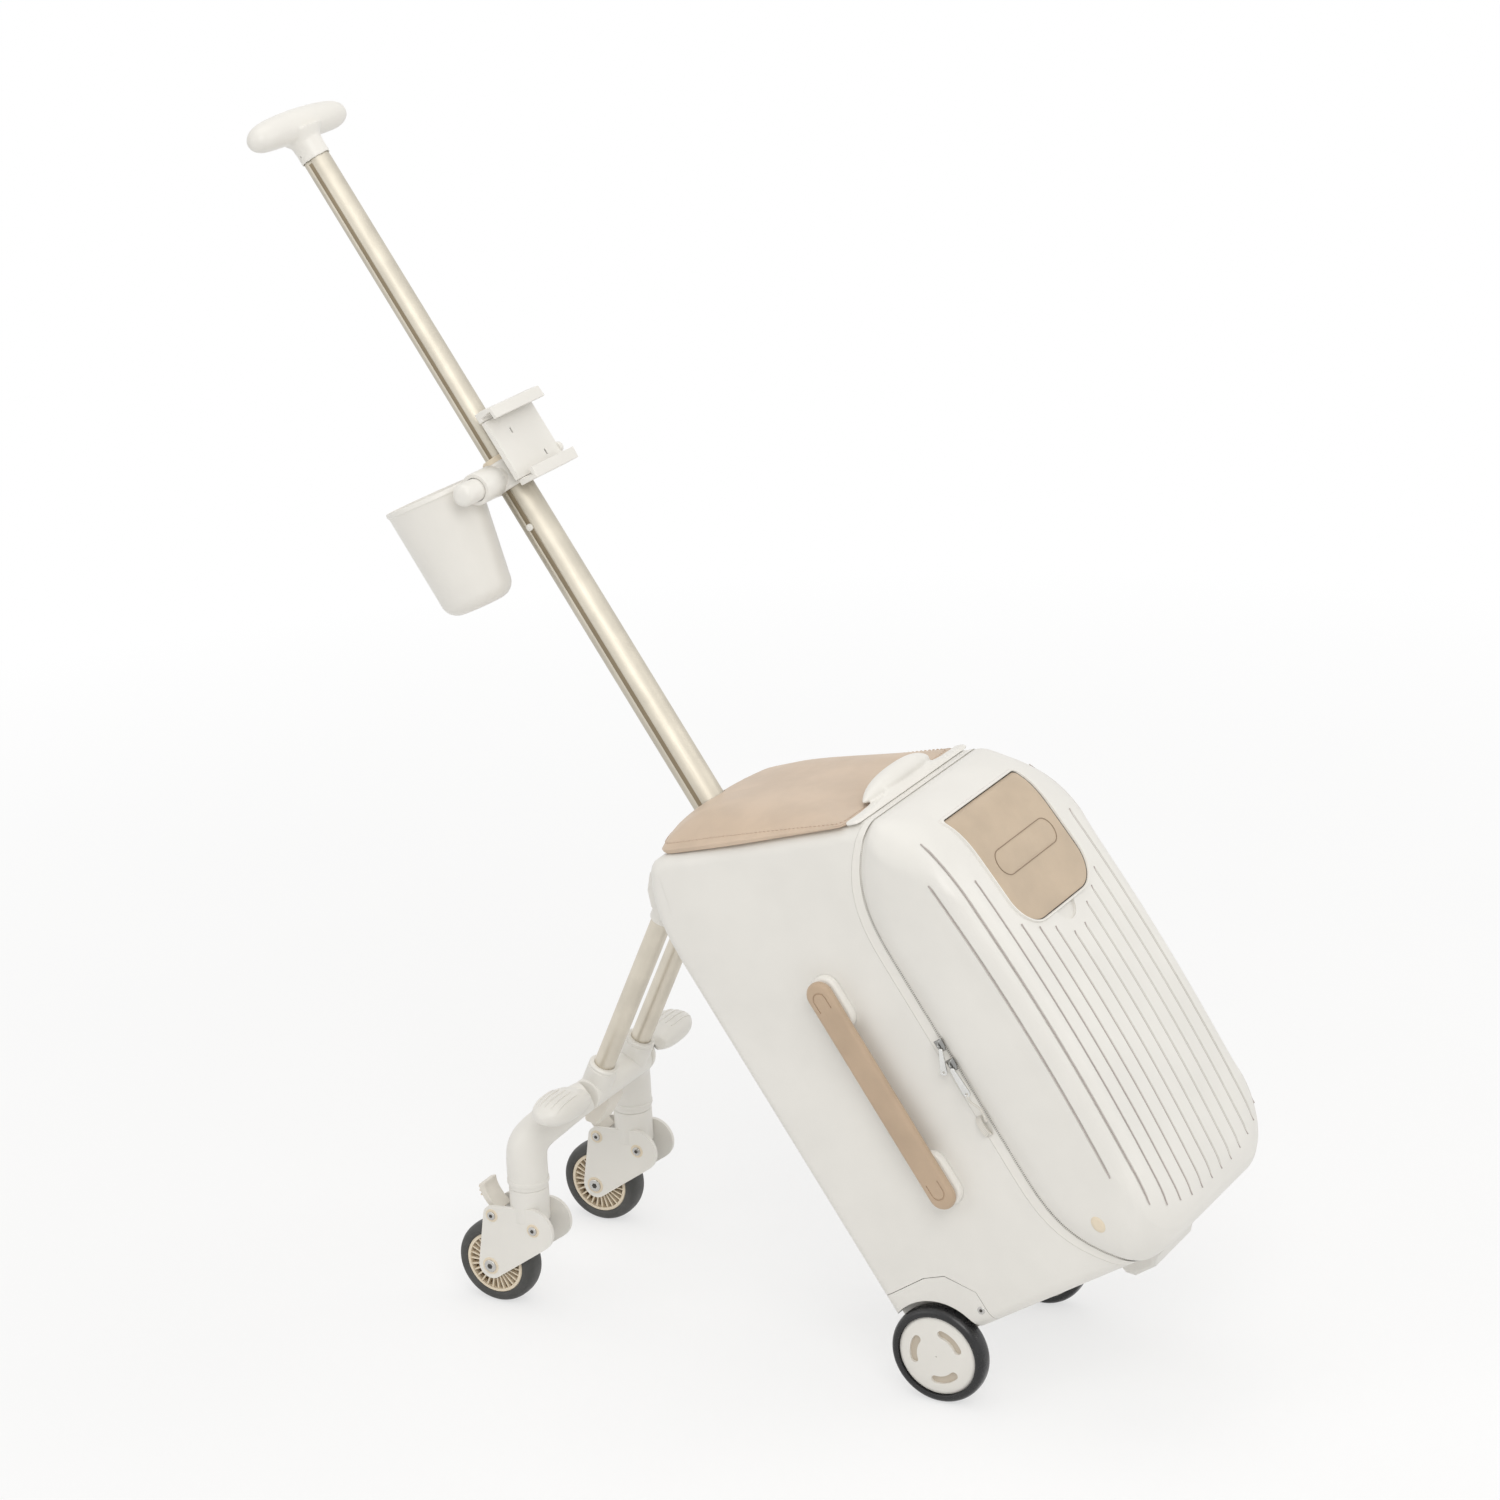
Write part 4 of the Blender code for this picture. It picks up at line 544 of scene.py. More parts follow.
def melt(made, rounds):
    # Blends joined forms into one soft skin.
    skin = made.modifiers.new("skin", "REMESH")
    skin.mode = "VOXEL"
    skin.voxel_size = SKIN_VOXEL
    skin.use_smooth_shade = True
    ease = made.modifiers.new("ease", "SMOOTH")
    ease.factor = 0.5
    ease.iterations = rounds


def piece(name, bm, matrix, mat, body, replaces=(), smooth=35, bevel=0.0, segments=3, angle=35):
    made = add_mesh(name, bm, matrix)
    made.data.materials.append(mat)
    shade(made.data, smooth)
    if bevel:
        soften(made, bevel, segments, angle)
    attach(made, body)
    if replaces:
        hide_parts(*replaces)
    return made


def carve(made, bm, matrix, operation="DIFFERENCE"):
    # Boolean with a throwaway cutter, kept in the mesh; the other modifiers wait meanwhile.
    cutter = add_mesh("cutter", bm, matrix)
    others = list(made.modifiers)
    change = made.modifiers.new("carve", "BOOLEAN")
    change.operation = operation
    change.solver = "EXACT"
    change.object = cutter
    for modifier in others:
        modifier.show_viewport = False
    graph = bpy.context.evaluated_depsgraph_get()
    result = bpy.data.meshes.new_from_object(made.evaluated_get(graph))
    for modifier in others:
        modifier.show_viewport = True
    made.modifiers.remove(change)
    old = made.data
    made.data = result
    result.materials.clear()
    result.materials.append(old.materials[0])
    bpy.data.meshes.remove(old)
    bpy.data.objects.remove(cutter, do_unlink=True)
    shade(result, 35)


# Materials


def put(tree, socket, value):
    # Links a socket to another one, or sets its value.
    if isinstance(value, bpy.types.NodeSocket):
        tree.links.new(value, socket)
    else:
        socket.default_value = value


def add_node(tree, kind, inputs, **settings):
    made = tree.nodes.new(kind)
    for name, value in settings.items():
        setattr(made, name, value)
    for key, value in inputs.items():
        put(tree, made.inputs[key], value)
    return made


class Look:
    # A Principled material with its texture nodes in object space.
    def __init__(self, name, colour, roughness, metallic=0.0):
        self.mat = bpy.data.materials.new(name)
        self.mat.use_nodes = True
        self.tree = self.mat.node_tree
        self.shader = self.tree.nodes["Principled BSDF"]
        self.colour = colour
        self.set("Base Color", (*colour, 1.0))
        self.set("Roughness", roughness)
        self.set("Metallic", metallic)
        self.coords = self.tree.nodes.new("ShaderNodeTexCoord").outputs["Object"]
        self.normal = None

    def set(self, socket, value):
        put(self.tree, self.shader.inputs[socket], value)

    def noise(self, scale, detail=4.0, stretch=None):
        source = self.coords
        if stretch:
            node = add_node(self.tree, "ShaderNodeMapping", {"Vector": source, "Scale": stretch})
            source = node.outputs["Vector"]
        inputs = {"Vector": source, "Scale": scale, "Detail": detail}
        return add_node(self.tree, "ShaderNodeTexNoise", inputs).outputs["Fac"]

    def cells(self, scale):
        inputs = {"Vector": self.coords, "Scale": scale}
        return add_node(self.tree, "ShaderNodeTexVoronoi", inputs).outputs["Distance"]

    def mottle(self, source, dark, light, low=0.35, high=0.65):
        node = add_node(self.tree, "ShaderNodeValToRGB", {"Fac": source})
        for stop, at, share in zip(node.color_ramp.elements, (low, high), (dark, light)):
            stop.position = at
            stop.color = (*[min(1.0, c * share) for c in self.colour], 1.0)
        self.set("Base Color", node.outputs["Color"])

    def rough_between(self, source, low, high):
        inputs = {"Value": source, "To Min": low, "To Max": high}
        self.set("Roughness", add_node(self.tree, "ShaderNodeMapRange", inputs).outputs["Result"])

    def bump(self, source, strength, distance):
        inputs = {"Height": source, "Strength": strength, "Distance": distance}
        if self.normal:
            inputs["Normal"] = self.normal
        self.normal = add_node(self.tree, "ShaderNodeBump", inputs).outputs["Normal"]
        self.set("Normal", self.normal)


def moulded(name, colour, roughness):
    look = Look(name, colour, roughness)
    look.mottle(look.noise(14.0, 3.0), 0.975, 1.02)
    look.rough_between(look.noise(60.0, 3.0), roughness - 0.05, roughness + 0.06)
    look.bump(look.noise(2600.0, 2.0), 0.25, 0.00006)
    look.bump(look.noise(90.0, 2.0), 0.10, 0.0003)
    return look.mat


def soft_cover(name, colour, roughness):
    look = Look(name, colour, roughness)
    look.mottle(look.noise(26.0, 5.0), 0.94, 1.05)
    look.rough_between(look.noise(120.0, 3.0), roughness - 0.07, roughness + 0.08)
    look.bump(look.cells(720.0), 0.35, 0.00022)
    look.bump(look.noise(1800.0, 3.0), 0.25, 0.0001)
    look.set("Sheen Weight", 0.12)
    return look.mat


def anodised(name, colour, roughness):
    look = Look(name, colour, roughness, 1.0)
    fine = look.noise(900.0, 3.0, (1.0, 0.04, 0.03))
    look.mottle(look.noise(40.0, 3.0), 0.95, 1.04)
    look.rough_between(fine, roughness - 0.05, roughness + 0.10)
    look.bump(fine, 0.12, 0.00003)
    return look.mat


def polished(name, colour, roughness):
    look = Look(name, colour, roughness, 1.0)
    look.mottle(look.noise(80.0, 3.0), 0.93, 1.03)
    look.rough_between(look.noise(300.0, 4.0), roughness * 0.7, roughness * 1.8)
    look.bump(look.noise(700.0, 2.0), 0.08, 0.00003)
    return look.mat


def rubber(name, colour, roughness):
    look = Look(name, colour, roughness)
    look.mottle(look.noise(45.0, 5.0), 0.82, 1.22)
    look.rough_between(look.noise(200.0, 3.0), roughness - 0.10, roughness + 0.12)
    look.bump(look.noise(1500.0, 3.0), 0.30, 0.0001)
    return look.mat


def woven(name, colour):
    look = Look(name, colour, 0.85)
    inputs = {"Vector": look.coords, "Scale": 420.0, "Distortion": 0.6}
    wave = add_node(look.tree, "ShaderNodeTexWave", inputs, bands_direction="DIAGONAL").outputs["Fac"]
    look.mottle(wave, 0.84, 1.04, 0.2, 0.8)
    look.bump(wave, 0.5, 0.0003)
    look.bump(look.noise(2400.0, 3.0), 0.3, 0.0001)
    look.set("Sheen Weight", 0.2)
    return look.mat


SHELL = moulded("shell_white", (0.785, 0.768, 0.728), 0.40)
# Darker grey for bars sunk in the lid's grooves: painted shade inside the grooves.
GROOVE_SHADE = moulded("groove_painted_shade", (0.47, 0.42, 0.40), 0.60)
# Tan for the floors of the wheel-cap slots: the cream part's colour, darkened as painted shade inside the slots.
SLOT_FLOOR_SHADE = moulded("hub_slot_floor_shade", (0.58, 0.51, 0.42), 0.50)
TRIM = moulded("trim_white", (0.80, 0.78, 0.735), 0.36)
CREAM = moulded("cream_plastic", (0.78, 0.68, 0.53), 0.42)
# Dark brown for the caster disc between the hub ribs: painted shade on the recessed web.
HUB_WEB_SHADE = moulded("hub_web_painted_shade", (0.20, 0.125, 0.055), 0.55)
SEAT = soft_cover("seat_cover", (0.60, 0.470, 0.355), 0.50)
SEAT_LIP = soft_cover("seat_lip", (0.50, 0.375, 0.28), 0.55)
FLAP = soft_cover("flap_cover", (0.535, 0.425, 0.31), 0.55)
GRIP = soft_cover("grip_rubber", (0.49, 0.365, 0.255), 0.55)
POLE_METAL = anodised("pole_champagne", (0.57, 0.53, 0.45), 0.50)
# Dark brown inset in the pole's side channels: the channel is a real groove, and its dark colour paints the dark
# reflection stripe along the tube.
CHANNEL_REFLECTION = anodised("pole_channel_painted_reflection", (0.27, 0.22, 0.15), 0.45)
LEG_METAL = anodised("leg_champagne", (0.66, 0.61, 0.52), 0.36)
STEEL = polished("screw_steel", (0.55, 0.54, 0.52), 0.22)
CHROME = polished("zip_chrome", (0.31, 0.31, 0.30), 0.16)
NICKEL = polished("pull_nickel", (0.74, 0.74, 0.72), 0.20)
CASTER_TYRE = rubber("caster_tyre_grey", (0.062, 0.062, 0.059), 0.55)
WHEEL_TYRE = rubber("wheel_tyre_black", (0.012, 0.012, 0.013), 0.28)
SEAL = rubber("seal_brown", (0.055, 0.038, 0.026), 0.5)
TAPE = woven("zip_tape", (0.21, 0.185, 0.155))
TIE = woven("tie_cord", (0.74, 0.71, 0.65))
THREAD = woven("seat_thread", (0.66, 0.52, 0.41))
PILL = soft_cover("pill_line", (0.23, 0.16, 0.10), 0.50)
WARM_WHITE = moulded("warm_white", (0.75, 0.71, 0.64), 0.42)
# Near black for gaps, slits, slot floors and screw sockets: painted shade where parts meet or recess.
GAP_SHADE = moulded("painted_gap_shade", (0.045, 0.040, 0.034), 0.6)
LINER = woven("liner_grey", (0.34, 0.33, 0.31))


# Case


def top_z(depth):
    return TOP_REF_Z + TOP_SLOPE * (depth - TOP_REF_DEPTH)


def bottom_z(depth):
    return BOTTOM_BACK_Z + BOTTOM_SLOPE * depth


def zip_depth(z):
    beyond = (abs(z - ZIP_MID_Z) - ZIP_STRAIGHT) / ZIP_CURVE
    return ZIP_DEPTH + ZIP_SWEEP * min(max(beyond, 0.0), 1.0) ** 3


def lid_front(z):
    return LID_FRONT - LID_FALL * ((z - LID_FALL_MID_Z) / LID_FALL_REACH) ** 2


def side_outline():
    bend = BACK_TOP_DEPTH + 0.018
    back = [
        (CASE_BACK, BACK_BEND_Z),
        (CASE_BACK + 0.002, BACK_BEND_Z + 0.028),
        (CASE_BACK + 0.009, BACK_BEND_Z + 0.055),
        (BACK_TOP_DEPTH - 0.010, BACK_TOP_Z - 0.012),
        (BACK_TOP_DEPTH, BACK_TOP_Z - 0.003),
        (bend, top_z(bend)),
    ]
    points = [(FRONT_LIMIT, bottom_z(FRONT_LIMIT)), (FRONT_LIMIT, top_z(FRONT_LIMIT))]
    points += smooth_path(back, 3)[::-1]
    r = BACK_CORNER_R
    points += arc(CASE_BACK + r, bottom_z(CASE_BACK) + r, r, 180, 90, 6)
    return [(-depth, z) for depth, z in reversed(points)]


def body_block(shrink):
    # The case as one solid, its walls moved inwards by the shrink.
    outline = inset(side_outline(), shrink)
    half_w = CASE_HALF_W - shrink
    edge = CASE_EDGE_R - shrink
    layers = []
    for k in range(EDGE_STEPS + 1):
        a = math.pi / 2 * k / EDGE_STEPS
        layers.append((half_w - edge * (1 - math.sin(a)), inset(outline, edge * (1 - math.cos(a)))))
    return stack_x([(-x, o) for x, o in reversed(layers)] + layers)


def zip_band(back, front=None):
    # Slab across the case between two distances from the zip, or all that lies before the first.
    heights = [-0.06, -0.004, 0.012, *np.linspace(0.02, 0.115, 10), *np.linspace(0.315, 0.43, 12), 0.54]
    outline = [(-(zip_depth(z) + back), z) for z in heights]
    if front is None:
        outline += [(-0.5, heights[-1]), (-0.5, heights[0])]
    else:
        outline += [(-(zip_depth(z) + front), z) for z in reversed(heights)]
    return prism_x(outline, -0.2, 0.2)


def corner_block(sign, grow):
    outline = [
        (-CASE_BACK + 0.02, BOTTOM_BACK_Z - 0.02),
        (-(HOUSING_FRONT + grow), BOTTOM_BACK_Z - 0.02),
        (-(HOUSING_FRONT + grow), HOUSING_TOP_Z - 0.030),
        (-(HOUSING_FRONT - 0.020 + grow), HOUSING_TOP_Z - 0.006 + grow),
        (-(HOUSING_FRONT - 0.040), HOUSING_TOP_Z + grow),
        (-CASE_BACK + 0.02, HOUSING_TOP_Z + grow),
    ]
    return prism_x(outline, sign * (HOUSING_IN - grow), sign * (CASE_HALF_W + 0.02))


def make_case():
    shell = piece("case_skin", body_block(0), CASE, SHELL, "case", ["case_shell"])
    carve(shell, body_block(CASE_WALL), CASE)
    carve(shell, zip_band(-RIM_DEPTH - CHAIN_W - GAP), CASE)
    for side, sign in SIDES:
        carve(shell, corner_block(sign, 0.0006), CASE)
    hole = SEAL_R - 0.001
    carve(shell, spun([(hole, TOP_REF_Z - 0.03), (hole, 0.60)], 48), POLE)
    rim = piece("rim_skin", body_block(0), CASE, TRIM, "case", ["case_rim"])
    carve(rim, zip_band(-RIM_DEPTH - CHAIN_W, -CHAIN_W - GAP), CASE, "INTERSECT")
    carve(rim, body_block(RIM_WALL), CASE)


def loop_points(half_w, top, bottom, radius, corner_steps, side_cuts, end_cuts):
    # Rectangle with round corners as (x, z) points, its straight runs cut up.
    cx = half_w - radius
    high = top - radius
    low = bottom + radius
    loop = []
    for centre_x, centre_z, start in ((cx, high, 0), (-cx, high, 90), (-cx, low, 180), (cx, low, 270)):
        loop += arc(centre_x, centre_z, radius, start, 90, corner_steps)
        x, z = loop[-1]
        cuts = end_cuts if start in (0, 180) else side_cuts
        for f in [k / (cuts + 1) for k in range(1, cuts + 1)]:
            if start in (0, 180):
                loop.append((x * (1 - 2 * f), z))
            else:
                loop.append((x, centre_z + (high + low - 2 * centre_z) * f))
    return loop


def zip_rect(shrink, *cuts):
    rect = (CASE_HALF_W - shrink, LID_TOP_Z - shrink, LID_BOTTOM_Z + shrink, CASE_EDGE_R)
    return loop_points(*rect, *cuts)


def zip_loop(shrink):
    # Points at even steps round the zip, with the way it runs there.
    path = [Vector((x, -zip_depth(z), z)) for x, z in zip_rect(shrink, 16, 120, 120)]
    path.append(path[0])
    lengths = [0.0]
    for a, b in zip(path, path[1:]):
        lengths.append(lengths[-1] + (b - a).length)
    made = []
    at = 0
    for k in range(TEETH):
        want = lengths[-1] * k / TEETH
        while lengths[at + 1] < want:
            at += 1
        f = (want - lengths[at]) / (lengths[at + 1] - lengths[at])
        made.append((path[at].lerp(path[at + 1], f), (path[at + 1] - path[at]).normalized()))
    return made


def make_zip():
    tape = []
    rim = zip_rect(0, 10, 60, 24)
    for shrink, offset in ((0.0012, 0), (0.0012, -CHAIN_W), (0.004, -CHAIN_W), (0.004, 0)):
        rect = zip_rect(shrink, 10, 60, 24)
        tape.append([(x, -(zip_depth(rim_z) + offset), z) for (x, z), (rim_x, rim_z) in zip(rect, rim)])
    piece("zip_tape", loft(tape, closed=True), CASE, TAPE, "case", ["zip_chain"])
    teeth = bmesh.new()
    corners = [(i, j, k) for i in (-1, 1) for j in (-1, 1) for k in (-1, 1)]
    faces = ((0, 1, 3, 2), (4, 6, 7, 5), (0, 4, 5, 1), (2, 3, 7, 6), (0, 2, 6, 4), (1, 5, 7, 3))
    for p, along in zip_loop(0.0006):
        inward = Vector((-p.x, 0, TEETH_AIM_Z - p.z)).normalized()
        out = -(inward - along * inward.dot(along)).normalized()
        across = along.cross(out)
        middle = p + Vector((0, CHAIN_W / 2, 0))
        made = []
        for i, j, k in corners:
            spot = middle + along * (i * TOOTH[0]) + out * (j * TOOTH[1]) + across * (k * TOOTH[2])
            made.append(teeth.verts.new(spot))
        for face in faces:
            teeth.faces.new([made[i] for i in face])
    piece("zip_teeth", teeth, CASE, TRIM, "case")


# Lid

# Rows from the zip to the front: share of the depth, then growth of width, top, bottom and corner radius
LID_TABLE = (
    (0.00, 0.00, 0.000, 0.000, 0.013),
    (0.07, 0.42, -0.001, 0.002, 0.019),
    (0.22, 0.82, -0.004, 0.003, 0.030),
    (0.48, 1.00, -0.013, 0.002, 0.042),
    (0.66, 1.01, -0.021, -0.001, 0.047),
    (0.773, 1.00, -0.0275, -0.005, 0.050),
    (0.832, 0.946, -0.032, -0.008, 0.051),
    (0.8865, 0.788, -0.037, -0.0125, 0.051),
    (0.9335, 0.537, -0.0425, -0.0175, 0.050),
    (0.9696, 0.21, -0.0495, -0.0235, 0.047),
    (0.9923, -0.171, -0.0585, -0.031, 0.042),
    (1.000, -0.58, -0.067, -0.039, 0.038),
    (1.000, -1.55, -0.082, -0.053, 0.034),
)


def lid_grid(rings_out, rings_in, shrink=0.0):
    # Rings from the zip to the front's middle as an array of (ring, point, xyz).
    rim = zip_rect(0, *LID_CUTS)
    grid = []
    for f, wide, top, bottom, radius in smooth_path(LID_TABLE, rings_out):
        loop = loop_points(
            CASE_HALF_W + wide * LID_BULGE - shrink,
            LID_TOP_Z + top - shrink,
            LID_BOTTOM_Z - bottom + shrink,
            max(radius - shrink, 0.006),
            *LID_CUTS,
        )
        ring = []
        for (x, z), (rim_x, rim_z) in zip(loop, rim):
            low = zip_depth(rim_z) + GAP
            ring.append((x, -(low + (lid_front(z) - shrink - low) * min(f, 1.0)), z))
        grid.append(ring)
    last = grid[-1]
    for k in range(1, rings_in + 1):
        s = 1 - k / (rings_in + 0.6)
        ring = []
        for x, y, z in last:
            at_z = LID_FALL_MID_Z + (z - LID_FALL_MID_Z) * s
            ring.append((x * s, -(lid_front(at_z) - shrink + 0.0008 * (1 - s * s)), at_z))
        grid.append(ring)
    return np.array(grid)


def solid_grid(outer, inner):
    # Closed wall from an outer and an inner grid, joined along their first rings.
    bm = bmesh.new()
    skins = [[[bm.verts.new(p) for p in ring] for ring in grid] for grid in (outer, inner)]
    for loops in skins:
        for low, high in zip(loops, loops[1:]):
            band(bm, low, high)
        bm.faces.new(loops[-1])
    band(bm, skins[0][0], skins[1][0])
    return bm


def surface_tree(grid):
    rings, count = grid.shape[:2]
    index = np.arange(rings * count).reshape(rings, count)
    a = index[:-1, :]
    b = index[1:, :]
    quads = np.stack([a, np.roll(a, -1, axis=1), np.roll(b, -1, axis=1), b], axis=-1).reshape(-1, 4)
    return BVHTree.FromPolygons(grid.reshape(-1, 3).tolist(), quads.tolist() + [index[-1].tolist()])


def cast(tree, start, way):
    # Where a ray first meets the lid's outer surface.
    return tree.ray_cast(start, way)[0]


def on_front(tree, x, z):
    return cast(tree, Vector((x, -1.0, z)), Vector((0, 1, 0)))


def round_lid(tree, run, z):
    # Point of the outer surface at a run measured along the section from its middle.
    side = math.copysign(1.0, run)
    centre_x = LID_HALF_W - LID_CORNER_R
    if abs(run) <= centre_x:
        return on_front(tree, run, z)
    centre_y = -(lid_front(z) - LID_CORNER_R)
    turn = (abs(run) - centre_x) / LID_CORNER_R
    if turn > math.pi / 2:
        along = (turn - math.pi / 2) * LID_CORNER_R
        return cast(tree, Vector((side * 0.3, centre_y + along, z)), Vector((-side, 0, 0)))
    way = Vector((side * math.sin(turn), -math.cos(turn), 0))
    return cast(tree, Vector((side * centre_x, centre_y, z)) + way * 0.3, -way)


def flap_outline(grow):
    half = FLAP_HALF_W + grow
    top = FLAP_TOP_Z + grow - FLAP_SOFT
    r = FLAP_CORNER_R + grow
    low = FLAP_TOP_Z - FLAP_DROP - grow + r
    points = arc(half - FLAP_SOFT, top, FLAP_SOFT, 0, 90, 6)
    points += arc(FLAP_SOFT - half, top, FLAP_SOFT, 90, 90, 6)
    return points + arc(r - half, low, r, 180, 90, 15) + arc(half - r, low, r, 270, 90, 15)


def flap_edge(grow):
    return divided(flap_outline(grow), 0.006, flap_outline(0))


def groove_bars(tree, radius, lift):
    # Round bars along the grooves, each closed and clear of the others.
    bars = []
    for at, top, bottom in zip(GROOVE_AT, GROOVE_TOP, GROOVE_BOTTOM):
        for side in (-1, 1):
            points = []
            for k in range(GROOVE_STEPS + 1):
                hit = round_lid(tree, side * at, bottom + (top - bottom) * k / GROOVE_STEPS)
                away = Vector((hit.x, hit.y + 0.2, 0)).normalized()
                end = GROOVE_END_LIFT if k in (0, GROOVE_STEPS) else 0.0
                points.append(hit + away * (lift + end))
            bars.append(sweep(points, radius, 14))
    return merge(*bars)


def make_lid():
    grid = lid_grid(8, 36)
    tree = surface_tree(grid)
    solid = solid_grid(grid, lid_grid(3, 10, LID_WALL))
    lid = piece("lid_skin", solid, CASE, SHELL, "lid", ["lid_shell"], smooth=50)
    carve(lid, prism_y(flap_outline(WINDOW_GROW), *WINDOW_Y), CASE)
    notch_z = FLAP_TOP_Z - FLAP_DROP
    floor = on_front(tree, 0, notch_z).y + NOTCH_DEPTH
    bay = [(NOTCH_R * c, notch_z + NOTCH_R * s) for c, s in circle(48)]
    carve(lid, prism_y(bay, floor - 0.02, floor), CASE)
    carve(lid, groove_bars(tree, GROOVE_R, GROOVE_LIFT), CASE)
    # Darker bars sunk in the grooves paint the shade inside them.
    lines = groove_bars(tree, GROOVE_SHADE_R, -GROOVE_SHADE_SINK)
    piece("lid_groove_painted_shade", lines, CASE, GROOVE_SHADE, "lid", smooth=60)
    lid.data.set_sharp_from_angle(angle=math.radians(38))
    piece("lid_dot", lid_dot(tree), CASE, CREAM, "lid", smooth=60)
    return tree


def lid_dot(tree):
    # Small inlaid disc at the lid's lower corner.
    way = Vector(DOT_WAY).normalized()
    hit, normal = tree.ray_cast(Vector(DOT_AT) + way * 0.2, -way)[:2]
    side = normal.cross(Vector((0, 0, 1))).normalized()
    up = side.cross(normal).normalized()
    rings = []
    for r, lift in DOT_STEPS:
        starts = [hit + side * (r * c) + up * (r * DOT_TALL * s) + way * 0.05 for c, s in circle(40)]
        rings.append([cast(tree, start, -way) + normal * lift for start in starts])
    return loft(rings)


def surface_slab(outline, tree, proud, thickness, inner):
    # A plate over an (x, z) outline that follows the lid, from shrinking copies of the outline.
    centre_x = sum(p[0] for p in outline) / len(outline)
    centre_z = sum(p[1] for p in outline) / len(outline)
    front = []
    back = []
    for k in range(inner + 1):
        s = 1 - k / (inner + 0.5)
        edge = 0.0010 if k == 0 else 0.0
        spots = [(centre_x + (x - centre_x) * s, centre_z + (z - centre_z) * s) for x, z in outline]
        heights = [on_front(tree, x, z).y for x, z in spots]
        front.append([(x, y - proud + edge, z) for (x, z), y in zip(spots, heights)])
        back.append([(x, y - proud + thickness, z) for (x, z), y in zip(spots, heights)])
    return loft(back[::-1] + front)


def lid_ring(tree, runs):
    # Closed ring on the lid from (outline, lift) pairs.
    rings = [[(x, on_front(tree, x, z).y - lift, z) for x, z in outline] for outline, lift in runs]
    return loft(rings, closed=True)


def make_flap(tree):
    slab = surface_slab(flap_edge(0), tree, FLAP_PROUD, FLAP_T, 14)
    piece("flap_skin", slab, CASE, FLAP, "flap", ["flap"], 60)
    runs = [(pill_shape(PILL_R + grow), FLAP_PROUD + lift) for grow, lift in PILL_STEPS]
    piece("flap_pill_ring", lid_ring(tree, runs), CASE, PILL, "flap", smooth=60)
    pill = surface_slab(pill_shape(PILL_R), tree, FLAP_PROUD + 0.0007, 0.0012, 5)
    piece("flap_pill", pill, CASE, FLAP, "flap", smooth=60)
    # The dark gap ring round the flap is painted shade; the frame is the trim's own white.
    for name, mat, steps in (("flap_gap", GAP_SHADE, FLAP_GAP), ("flap_frame", TRIM, FLAP_FRAME)):
        ring = lid_ring(tree, [(flap_edge(grow), lift) for grow, lift in steps])
        piece(name, ring, CASE, mat, "lid", smooth=50)


def pill_shape(r):
    return arc(PILL_RUN, PILL_Z, r, -90, 180, 12) + arc(-PILL_RUN, PILL_Z, r, 90, 180, 12)


# Seat and what is round it


def seat_outline():
    half = [
        (0.0, SEAT_BACK_DEPTH),
        (0.030, SEAT_BACK_DEPTH + 0.001),
        (0.058, SEAT_BACK_DEPTH + 0.005),
        (0.080, SEAT_CORNER_DEPTH - 0.009),
        (0.092, SEAT_CORNER_DEPTH - 0.003),
        (SEAT_HALF_W_BACK, SEAT_CORNER_DEPTH + 0.006),
        (SEAT_HALF_W_BACK + 0.003, TOP_REF_DEPTH),
        (SEAT_HALF_W, 0.100),
        (SEAT_HALF_W, 0.150),
        (SEAT_HALF_W, PAD_FRONT_DEPTH - 0.010),
        (SEAT_HALF_W - 0.004, PAD_FRONT_DEPTH - 0.002),
        (SEAT_HALF_W - 0.012, PAD_FRONT_DEPTH),
        (0.060, PAD_FRONT_DEPTH),
        (0.030, PAD_FRONT_DEPTH),
        (0.0, PAD_FRONT_DEPTH),
    ]
    right = smooth_path(half, 5)
    return [tuple(p) for p in right] + [(-x, depth) for x, depth in reversed(right[1:-1])]


def seat_height(depth):
    # The pad is thickest at the back and thins towards the grab bar.
    t = min(max((depth - 0.080) / (PAD_FRONT_DEPTH - 0.080), 0.0), 1.0)
    return SEAT_HEIGHT * (1.25 - 0.97 * t**1.3)


def seat_ring(f, share, lift=0.0):
    # The outline drawn in by a factor, at a share of the pad's height.
    ring = []
    for x, d in seat_outline():
        depth = SEAT_MIDDLE + (d - SEAT_MIDDLE) * f
        ring.append((x * f, -depth, top_z(depth) + GAP + seat_height(depth) * share + lift))
    return ring


def pad_share(f):
    # Height of the pad's rounded top as a share, at a factor of its outline.
    return 0.15 + 0.85 * (1 - f**PAD_EDGE)


def make_seat():
    rings = [seat_ring(0.994, 0.0), seat_ring(1.002, 0.06), seat_ring(1.004, 0.15)]
    for k in range(1, 29):
        f = math.cos(math.pi / 2 * k / 29)
        rings.append(seat_ring(1.004 * f, pad_share(f)))
    seat = piece("seat_pad", loft(rings), CASE, SEAT, "case", ["seat"], 60)
    hole = LOWER_R + 0.0016
    carve(seat, spun([(hole, 0.44), (hole, 0.60)], 64), POLE)
    carve(seat, grab_form(0.0022, 32), CASE)
    room = GRAB_BASE_HALF_W + 0.002
    back = GRAB_DEPTH - GRAB_BASE_LEN / 2 - 0.001
    carve(seat, box(-room, room, -(SEAT_FRONT_DEPTH + 0.02), -back, 0.38, 0.52), CASE)
    under = loft([seat_ring(f, 0.0, lift) for f, lift in WELT], closed=True)
    piece("seat_welt", under, CASE, SEAT_LIP, "case", smooth=60)
    make_stitches()


